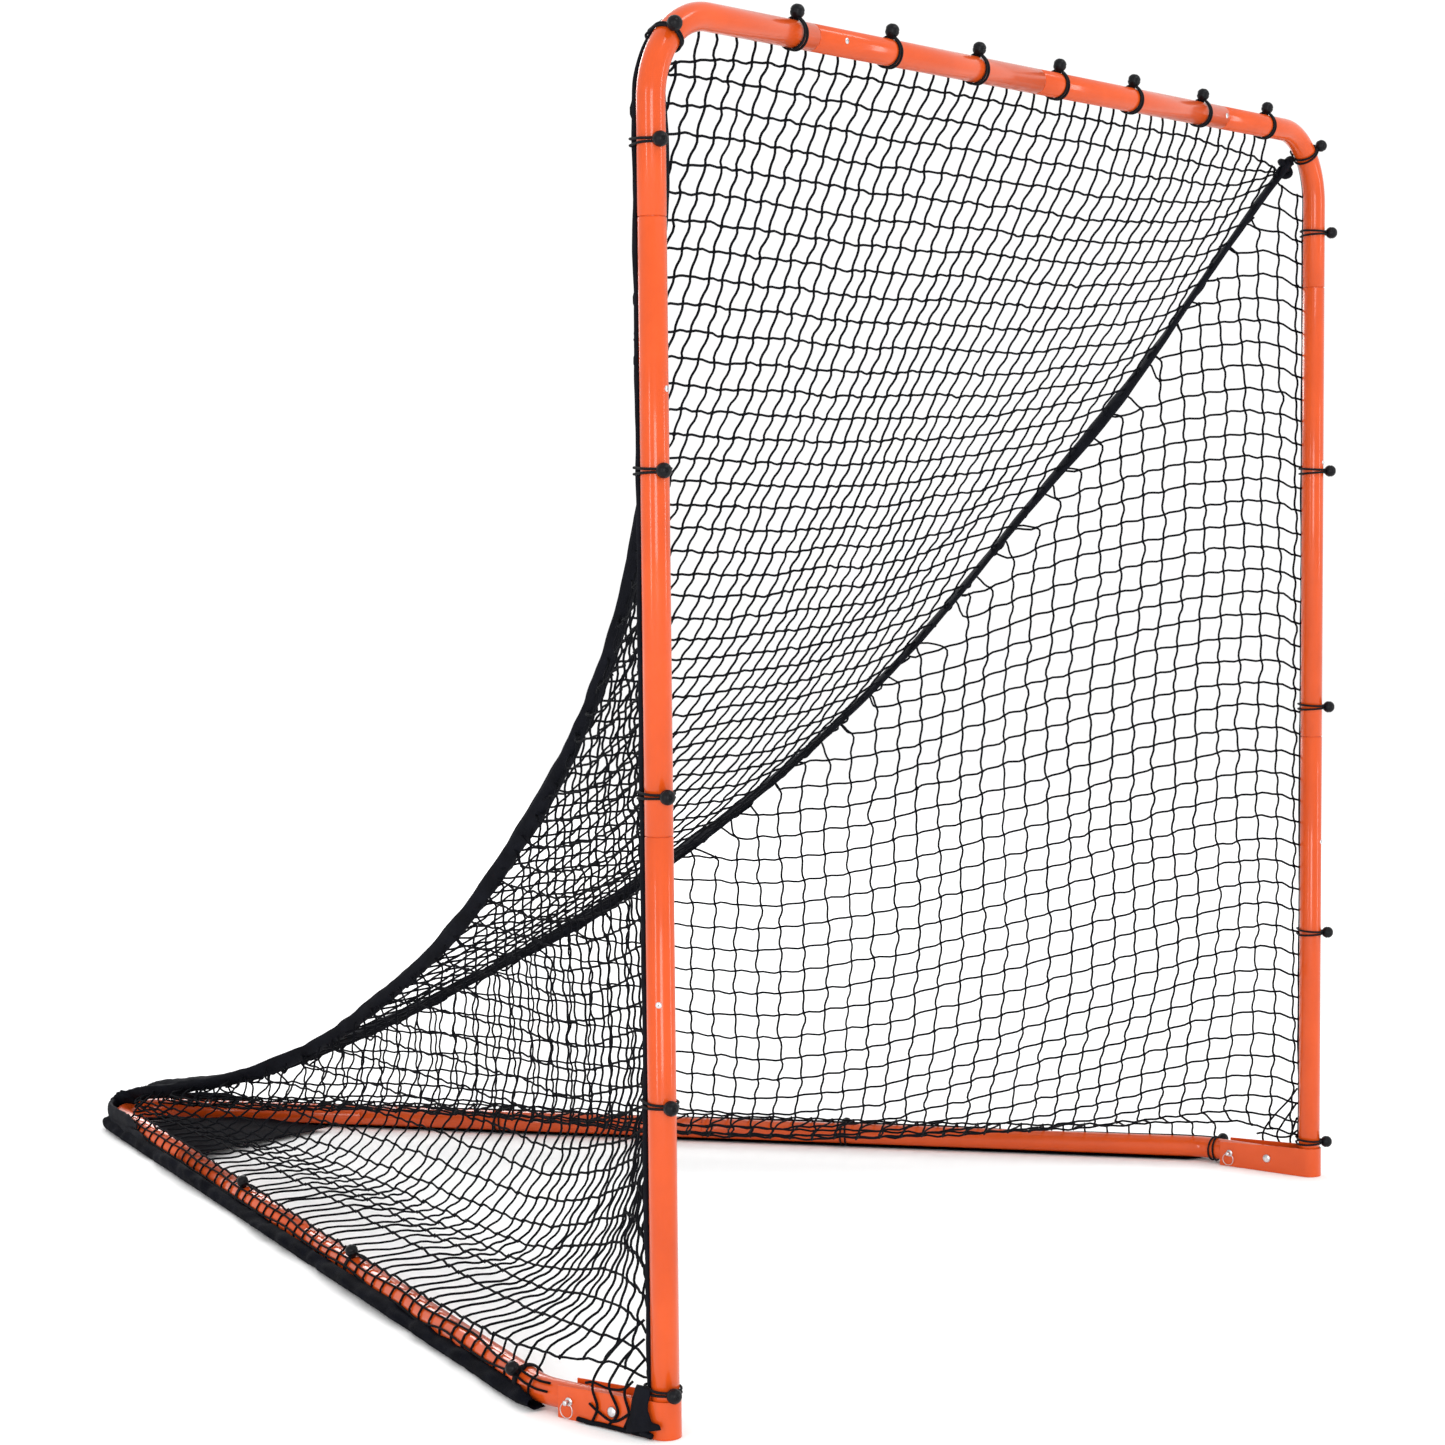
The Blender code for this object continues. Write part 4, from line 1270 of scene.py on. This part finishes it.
def foot_wrap(side, sign, generator):
    """The end of the net's edge band, bunched behind the foot of the post, and its knotted tail."""
    x = sign * (POST_X + CHEEK_OUTER + 0.0052)
    route = [(x - sign * 0.006, 0.018, 0.068), (x, 0.021, 0.046), (x, 0.021, 0.024), (x, 0.018, 0.010)]
    line = spline(route, 8)
    opening = np.linspace(0.50, 1.25, len(line))
    swell = 1 + 0.12 * smooth_noise(generator, (len(line), 1), (2, 0))[:, 0]
    builder = Builder()
    creased_band(builder, line + SHIFT, (0.0, 1.0, 0.0), 0.0175 * swell * opening, 0.0050 * swell, generator)
    tail = [(x, 0.020, 0.010), (x - sign * 0.001, 0.010, 0.006), (x, 0.003, 0.0055)]
    add_tube(builder, spline(tail, 5) + SHIFT, (np.linspace(0.0050, 0.0040, 11)), 10)
    builder.piece(f"foot_wrap_{side}", WEBBING, "front_frame", "webbing")


def creased_band(builder, centre, flat, wide, thick, generator, sides=20):
    """A band of cloth crushed to an oval section, with folds that run along it."""
    centre = np.asarray(centre, float)
    count = len(centre)
    tangent = np.gradient(centre, axis=0)
    tangent /= np.linalg.norm(tangent, axis=1)[:, None] + 1e-12
    flat = np.asarray(flat, float)
    across = flat - tangent * (tangent @ flat)[:, None]
    across /= np.linalg.norm(across, axis=1)[:, None] + 1e-12
    normal = np.cross(tangent, across)
    turn = np.arange(sides) * 2 * pi / sides
    folds = smooth_noise(generator, (count, sides), (6.0, 0.9))
    creases = smooth_noise(generator, (count, sides), (1.3, 1.6))
    relief = 1 + 0.10 * folds.clip(-2, 2) + 0.05 * creases.clip(-2, 2)
    wide = np.broadcast_to(wide, (count,))[:, None] * relief * np.cos(turn)[None, :]
    thick = np.broadcast_to(thick, (count,))[:, None] * relief * np.sin(turn)[None, :]
    rings = centre[:, None] + wide[:, :, None] * across[:, None] + thick[:, :, None] * normal[:, None]
    add_bar(builder, rings.reshape(-1, 3), sides)


def net_pieces():
    """The three panels, and what of the net lies on the floor frame and the feet."""
    generator = np.random.default_rng(7)
    made = back_net(generator)
    for side, sign in SIDES:
        side_net(side, sign, generator)
    for item in made:
        fold_blend(item)
    for side, sign in SIDES:
        tube_strands(side, sign, generator)
        foot_strands(side, sign, generator)
        foot_wrap(side, sign, generator)


# The share of the fold at the middle of the net: a base, and slopes over distance back and height
FOLD_BASE = 0.5123
FOLD_SLOPE = np.array([0.2422, -0.2614])


def blend_along(item, slope):
    """Bakes the piece's placement into its mesh; the slope is read but not used, so the piece is not turned
    by any share of the fold.
    """
    slope = np.array([0.0, *slope])
    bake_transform(item)


def fold_blend(item):
    """Bakes the piece's placement into its mesh through blend_along; the net is not turned toward the floor
    frame.
    """
    blend_along(item, FOLD_SLOPE)


def strip(first, second):
    """Triangles between two chains of corners, by the shorter diagonal each time."""
    i = j = 0
    made = []
    while i < len(first) - 1 or j < len(second) - 1:
        ahead_first = np.inf if i == len(first) - 1 else np.hypot(*(first[i + 1][:2] - second[j][:2]))
        ahead_second = np.inf if j == len(second) - 1 else np.hypot(*(first[i][:2] - second[j + 1][:2]))
        if ahead_first <= ahead_second:
            made.append([first[i], first[i + 1], second[j]])
            i += 1
        else:
            made.append([first[i], second[j + 1], second[j]])
            j += 1
    return made


def fold_cells():
    """Triangles of a side panel seen from the side, with a share of the fold at each corner.

    A corner is its distance back, its height and its share. The share is 0 along the post and 1 along
    the floor tube, so both edges of the panel stay on their frame.
    """
    post = [np.array([0.031, z, 0.0]) for z in (0.060, 0.500, 1.100, 1.800)]
    floor = [np.array([y, 0.050, 1.0]) for y in (0.190, 0.800, 1.500, 2.085)]
    slant = [np.array([0.150, 0.170, 0.5]), np.array([0.420, 0.440, 0.5])]
    seam = []
    for index in (1, 2, 4, 5, 6, 8):
        place = SEAM_ROUTE[index, 1:]
        seam.append(np.array([*place, FOLD_BASE + FOLD_SLOPE @ place]))
    up = [*slant, seam[3], seam[2], seam[1], seam[0]]
    back = [*slant, *seam[3:]]
    return [[post[0], floor[0], slant[0]], *strip(post, up), *strip(floor, back)]


def fold_in_cells(builder, name, node):
    """Cuts a side panel's strands where the cells meet into one piece for each cell, and works out each
    cell's plane of fold shares; the pieces are not turned.
    """
    cells = [np.array(cell) for cell in fold_cells()]
    verts = np.vstack(builder.verts)
    chosen = []
    for block in builder.faces:
        centres = verts[block].mean(axis=1) - SHIFT
        inside = []
        for cell in cells:
            corners = np.column_stack([cell[:, :2], np.ones(3)])
            weights = np.column_stack([centres[:, 1:], np.ones(len(centres))]) @ np.linalg.inv(corners)
            inside.append(weights.min(axis=1))
        chosen.append(np.argmax(inside, axis=0))
    for number, cell in enumerate(cells):
        picked = [block[pick == number].tolist() for block, pick in zip(builder.faces, chosen)]
        faces = [face for faces_here in picked for face in faces_here]
        if not faces:
            continue
        used = sorted({index for face in faces for index in face})
        place = {index: k for k, index in enumerate(used)}
        faces = [[place[index] for index in face] for face in faces]
        item = mesh_piece(f"{name}_{number + 1:02d}", verts[used], faces, TWINE, None, (node,))
        plane = np.linalg.solve(np.column_stack([np.ones(3), cell[:, :2]]), cell[:, 2])
        blend_along(item, plane[1:])


# ---------------------------------------------------------------- webbing, hem and patch


def seam_webbing(side, sign, generator):
    """Folded webbing along the seam, crushed and creased, with the net's edge meshes gathered under it."""
    over = [(0.021, APEX_TIP_Y - 0.008, 0.0560), (0.020, APEX_TIP_Y + 0.016, 0.0470)]
    over += [(0.019, APEX_TIP_Y + 0.0265, 0.0300), (0.018, APEX_TIP_Y + 0.0250, 0.0140)]
    curve = spline(np.vstack([[(0.884, 0.029, 1.818)], SEAM_ROUTE, over]), 26) * np.array([sign, 1, 1])
    count = len(curve)
    swing = smooth_noise(generator, (count, 1), (7, 0))[:, 0]
    down = np.linspace(0, 1, count)
    wide = 0.0110 + 0.0062 * down + 0.0014 * swing
    thick = 0.0054 + 0.0012 * down + 0.0005 * swing
    builder = Builder()
    creased_band(builder, curve + SHIFT, (sign * 0.55, -0.25, 0.80), wide, thick, generator)
    tape = builder.piece(f"seam_tape_{side}", WEBBING, None, "webbing", (f"seam_binding_{side}",))
    fold_blend(tape)
    lacing = Builder()
    steps = np.arange(0.10, path_lengths(curve)[-1] - 0.16, 0.012)
    spine = along_curve(curve, steps)
    for lean, start in ((-0.30, 0.0), (-0.75, 2.0)):
        beat = start + np.cumsum(0.75 + 0.35 * generator.random(len(steps)))
        reach = 0.006 + 0.006 * (1 + np.sin(beat)) * (0.7 + 0.6 * generator.random(len(steps)))
        away = np.array([sign * lean, 0.2, -0.8])
        line = spine + reach[:, None] * away / np.linalg.norm(away)
        line += 0.002 * generator.standard_normal(line.shape)
        add_tube(lacing, spline(line, 3) + SHIFT, TWINE_RADIUS, 6)
    item = lacing.piece(f"seam_lacing_{side}", TWINE, None, "net_twine", (f"side_net_{side}",))
    fold_blend(item)
    corner_knot(side, sign, generator)


def corner_knot(side, sign, generator):
    """The webbing's end, tied in an overhand knot round the corner bungee."""
    turn = np.linspace(0, 2 * pi, 64)
    size = 0.0052
    loops = np.column_stack(
        [
            np.sin(turn) + 2 * np.sin(2 * turn),
            0.9 * np.sin(3 * turn),
            np.cos(turn) - 2 * np.cos(2 * turn),
        ]
    )
    centre = np.array([sign * (POST_X - 0.047), 0.032, CROSSBAR_Z - 0.057])
    builder = Builder()
    creased_band(builder, centre + loops[:-1] * size + SHIFT, (0.3, 1.0, 0.2), 0.0066, 0.0050, generator, 12)
    drops = ((0.0, 0.0), (-0.016, -0.004), (-0.030, -0.016))
    tail = [centre + np.array([sign * x, 0.004, z]) for x, z in drops]
    creased_band(builder, spline(tail, 6) + SHIFT, (1.0, 0.2, 0.0), 0.0060, 0.0024, generator, 12)
    builder.piece(f"corner_knot_{side}", WEBBING, "front_frame", "webbing")


def edge_rope():
    """The net's edge cord, behind the posts and the crossbar, where the bungees hold it."""
    x = POST_X + EDGE_OUT
    z = CROSSBAR_Z + EDGE_OUT
    foot = BRACKET_HEIGHTS[0] + 0.006
    corners = [
        row(-x, EDGE_BEHIND, foot),
        row(-x, EDGE_BEHIND, z),
        row(x, EDGE_BEHIND, z),
        row(x, EDGE_BEHIND, foot),
    ]
    path = np.array([tuple(p) for p in rounded_path(corners, CORNER_BEND + EDGE_OUT, 24)])
    points = along_curve(path, np.arange(0, path_lengths(path)[-1], 0.02))
    generator = np.random.default_rng(3)
    points += 0.0005 * smooth_noise(generator, (len(points), 3), (1.5, 0))
    builder = Builder()
    swell = 1 + 0.06 * smooth_noise(generator, (3 * len(points) - 2, 1), (1.5, 0))[:, 0]
    add_tube(builder, spline(points, 3), EDGE_RADIUS * swell, 10)
    builder.piece("border_cord", WEBBING, "front_frame", "webbing", ("net_edge_cord",))


# The hem's section, from under the tube round its outer side: distance out and height
HEM_FRONT_Y = 0.200
HEM_SECTION = np.array(
    [
        (-0.004, 0.0030),
        (0.010, 0.0024),
        (0.024, 0.0026),
        (0.0355, 0.0044),
        (0.0405, 0.0115),
        (0.0365, 0.0205),
        (0.0268, 0.0250),
    ]
)


def hem_line(offset, steps=24):
    """A line outside the floor tubes and round the rear corner, at an offset from their axes."""
    shift = Vector((cos(SIDE_ANGLE), sin(SIDE_ANGLE), 0.0)) * offset
    corner = Vector((floor_half_width(HEM_FRONT_Y), HEM_FRONT_Y, 0)) + shift
    tip = Vector((0, VERTEX_Y + offset / sin(SIDE_ANGLE), 0))
    corners = [Vector((-corner.x, corner.y, 0)), tip, corner]
    return to_row(rounded_path(corners, APEX_BEND + offset, steps))


def resample(points, count):
    """A number of points at even distances along a line."""
    points = np.asarray(points, float)
    return along_curve(points, np.linspace(0, path_lengths(points)[-1], count))


def floor_hem():
    """The cloth band of the net's lower edge, from under the floor tubes up round their outer side."""
    generator = np.random.default_rng(11)
    section = spline(HEM_SECTION, 3)
    count, rows = 620, len(section)
    crease = smooth_noise(generator, (count, rows), (1.8, 1.4))
    broad = smooth_noise(generator, (count, rows), (8, 4))
    sheet = np.zeros((count, rows, 3))
    for r, (offset, height) in enumerate(section):
        sheet[:, r] = resample(hem_line(offset), count)
        free = min(1.0, r / (rows * 0.4)) ** 2
        sheet[:, r, 2] = height + free * (0.0012 * crease[:, r] + 0.0016 * broad[:, r])
    outward = sheet[:, -1] - sheet[:, 0]
    outward[:, 2] = 0
    outward /= np.linalg.norm(outward, axis=1)[:, None]
    loose = np.clip(np.arange(rows) / (rows * 0.5), 0, 1) ** 2
    sheet += outward[:, None] * ((0.0023 * crease + 0.0022 * broad) * loose[None, :])[:, :, None]
    ends = np.minimum(np.arange(count), np.arange(count)[::-1]) / 6.0
    shrink = np.clip(ends, 0.30, 1) ** 0.5
    spine = sheet.mean(axis=1)
    sheet = spine[:, None] + (sheet - spine[:, None]) * shrink[:, None, None]
    sheet[:, :, 2] = np.maximum(sheet[:, :, 2], 0.0020)
    item = cloth_grid("hem_band", sheet, 0.0012, FABRIC, ("floor_hem",))
    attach(item, "base_frame")


def cloth_grid(name, sheet, thickness, made, nodes):
    """A closed sheet of cloth through a grid of points."""
    rows, wide = sheet.shape[:2]
    along = np.gradient(sheet, axis=0)
    across = np.gradient(sheet, axis=1)
    normal = np.cross(along, across)
    normal /= np.linalg.norm(normal, axis=2)[:, :, None] + 1e-12
    if normal[rows // 2, wide // 2, 2] < 0:
        normal = -normal
    bottom = sheet - normal * thickness
    verts = np.vstack([sheet.reshape(-1, 3), bottom.reshape(-1, 3)])
    count = rows * wide
    faces = []
    for r in range(rows - 1):
        for c in range(wide - 1):
            a = r * wide + c
            faces.append([a, a + 1, a + wide + 1, a + wide])
            faces.append([count + a, count + a + wide, count + a + wide + 1, count + a + 1])
    for r in range(rows - 1):
        a, b = r * wide, (r + 1) * wide
        faces.append([a, b, count + b, count + a])
        a, b = a + wide - 1, b + wide - 1
        faces.append([a, count + a, count + b, b])
    for c in range(wide - 1):
        faces.append([c, count + c, count + c + 1, c + 1])
        a = (rows - 1) * wide + c
        faces.append([a, a + 1, count + a + 1, count + a])
    mesh = bpy.data.meshes.new(name)
    mesh.from_pydata(verts.tolist(), [], faces)
    mesh.materials.append(made)
    shape = bmesh.new()
    shape.from_mesh(mesh)
    bmesh.ops.recalc_face_normals(shape, faces=shape.faces)
    shape.to_mesh(mesh)
    shape.free()
    mesh.shade_smooth()
    item = new_object(name, mesh)
    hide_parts(*nodes)
    return item


CLOTH_FRONT_Y, CLOTH_TIP_Y = 1.735, 2.045
CLOTH_CLEARANCE = 0.0215


def corner_cloth():
    """The fabric triangle in the rear corner, its right front corner free of the tube."""
    generator = np.random.default_rng(5)
    front_y, tip_y, clearance = CLOTH_FRONT_Y, CLOTH_TIP_Y, CLOTH_CLEARANCE
    rows, wide = 48, 44
    sheet = np.zeros((rows, wide, 3))
    ripple = smooth_noise(generator, (rows, wide), (5, 5))
    fine = smooth_noise(generator, (rows, wide), (1.6, 1.6))
    for r in range(rows):
        share = r / (rows - 1)
        for c in range(wide):
            across = 2 * c / (wide - 1) - 1
            y = front_y + 0.014 * (1 - across * across) + (tip_y - front_y - 0.02) * share
            loose = 0.030 * max(across, 0) ** 3 * (1 - share) ** 2
            half = floor_half_width(y) - clearance - loose
            sheet[r, c] = (across * half, y + POST_Y, 0.0125)
    sheet[:, :, 2] += 0.0022 * ripple + 0.0007 * fine
    item = cloth_grid("corner_cloth", sheet, 0.0010, FABRIC, ("corner_patch",))
    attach(item, "base_frame")


def apex_wrap():
    """The seams' webbing where it turns round the outside of the rear corner and joins the hem."""
    generator = np.random.default_rng(17)
    builder = Builder()
    wide, thick = 0.0130, 0.0054
    for height, front in ((0.0400, 1.930), (0.0190, 1.860)):
        line = np.array([tuple(p) for p in hem_line(0.0262)])
        line = resample(line, 900)
        line = line[line[:, 1] > front + POST_Y]
        count = len(line)
        line[:, 2] = height
        taper = np.clip(np.minimum(np.arange(count), np.arange(count)[::-1]) / 12, 0.35, 1)
        creased_band(builder, line, (0, 0, 1), wide * taper, thick * taper, generator)
    builder.piece("apex_wrap", WEBBING, "base_frame", "webbing")


# ---------------------------------------------------------------- stage


# The camera's place is given behind the posts, its turns in radians from looking along +Y
FLOOR_REACH = 30.0
CAMERA_LENS = 74.3693
CAMERA_PLACE = (-3.945, -2.437, 1.243)
CAMERA_YAW, CAMERA_PITCH, CAMERA_ROLL = -0.912192, 0.076105, -0.009747


def stage():
    """A pale floor and an even white surround."""
    plane = bpy.data.meshes.new("floor")
    corners = [(x * FLOOR_REACH, y * FLOOR_REACH, 0) for x, y in ((-1, -1), (1, -1), (1, 1), (-1, 1))]
    plane.from_pydata(corners, [], [(0, 1, 2, 3)])
    made, _, shader = new_material("pale_floor")
    shader.inputs["Base Color"].default_value = (0.97, 0.97, 0.97, 1.0)
    shader.inputs["Roughness"].default_value = 0.9
    plane.materials.append(made)
    item = new_object("studio_floor", plane)
    item.location.z = -0.0005
    world = bpy.data.worlds.new("studio")
    bpy.context.scene.world = world
    world.use_nodes = True
    background = world.node_tree.nodes["Background"]
    background.inputs["Color"].default_value = (1.0, 1.0, 1.0, 1.0)
    background.inputs["Strength"].default_value = 1.05
    bpy.context.scene.view_settings.view_transform = "Standard"


def area_light(name, place, target, size, power):
    data = bpy.data.lights.new(name, "AREA")
    data.shape = "RECTANGLE"
    data.size, data.size_y = size
    data.energy = power
    item = new_object(name, data)
    item.location = place
    item.rotation_euler = (Vector(target) - Vector(place)).to_track_quat("-Z", "Y").to_euler()


def lights():
    area_light("key", (-5.9, -6.0, 2.0), (0, -0.5, 1.0), (2.2, 3.2), 190)
    area_light("side", (-5.8, -1.1, 1.7), (0, -0.5, 1.0), (0.5, 3.2), 55)
    area_light("fill", (2.6, -6.2, 1.6), (0, -1.0, 1.0), (0.5, 3.2), 50)
    area_light("top", (0.0, -3.2, 4.6), (0, -1.0, 1.6), (3.0, 0.6), 40)
    area_light("back", (3.2, 5.0, 3.4), (0, 0, 0.3), (4.0, 1.8), 170)


def camera():
    data = bpy.data.cameras.new("camera")
    data.sensor_width = 36.0
    data.lens = CAMERA_LENS
    data.clip_end = 100.0
    item = new_object("camera", data)
    yaw, pitch, roll = CAMERA_YAW, CAMERA_PITCH, CAMERA_ROLL
    ahead = Vector((-sin(yaw) * cos(pitch), cos(yaw) * cos(pitch), -sin(pitch)))
    right = ahead.cross(Vector((0, 0, 1))).normalized()
    up = right.cross(ahead)
    rolled_right = right * cos(roll) + up * sin(roll)
    rolled_up = up * cos(roll) - right * sin(roll)
    turn = Matrix((rolled_right, rolled_up, -ahead)).transposed().to_4x4()
    item.matrix_world = Matrix.Translation(row(*CAMERA_PLACE)) @ turn
    bpy.context.scene.camera = item


stage()
lights()
camera()
front_tubes()
floor_tubes()
for side, sign in SIDES:
    bracket(side, sign)
    pivot_bolt(side, sign)
    lock_pin(side, sign)
    seam_webbing(side, sign, np.random.default_rng(20 + sign))
screws()
all_bungees()
edge_rope()
net_pieces()
floor_hem()
corner_cloth()
apex_wrap()
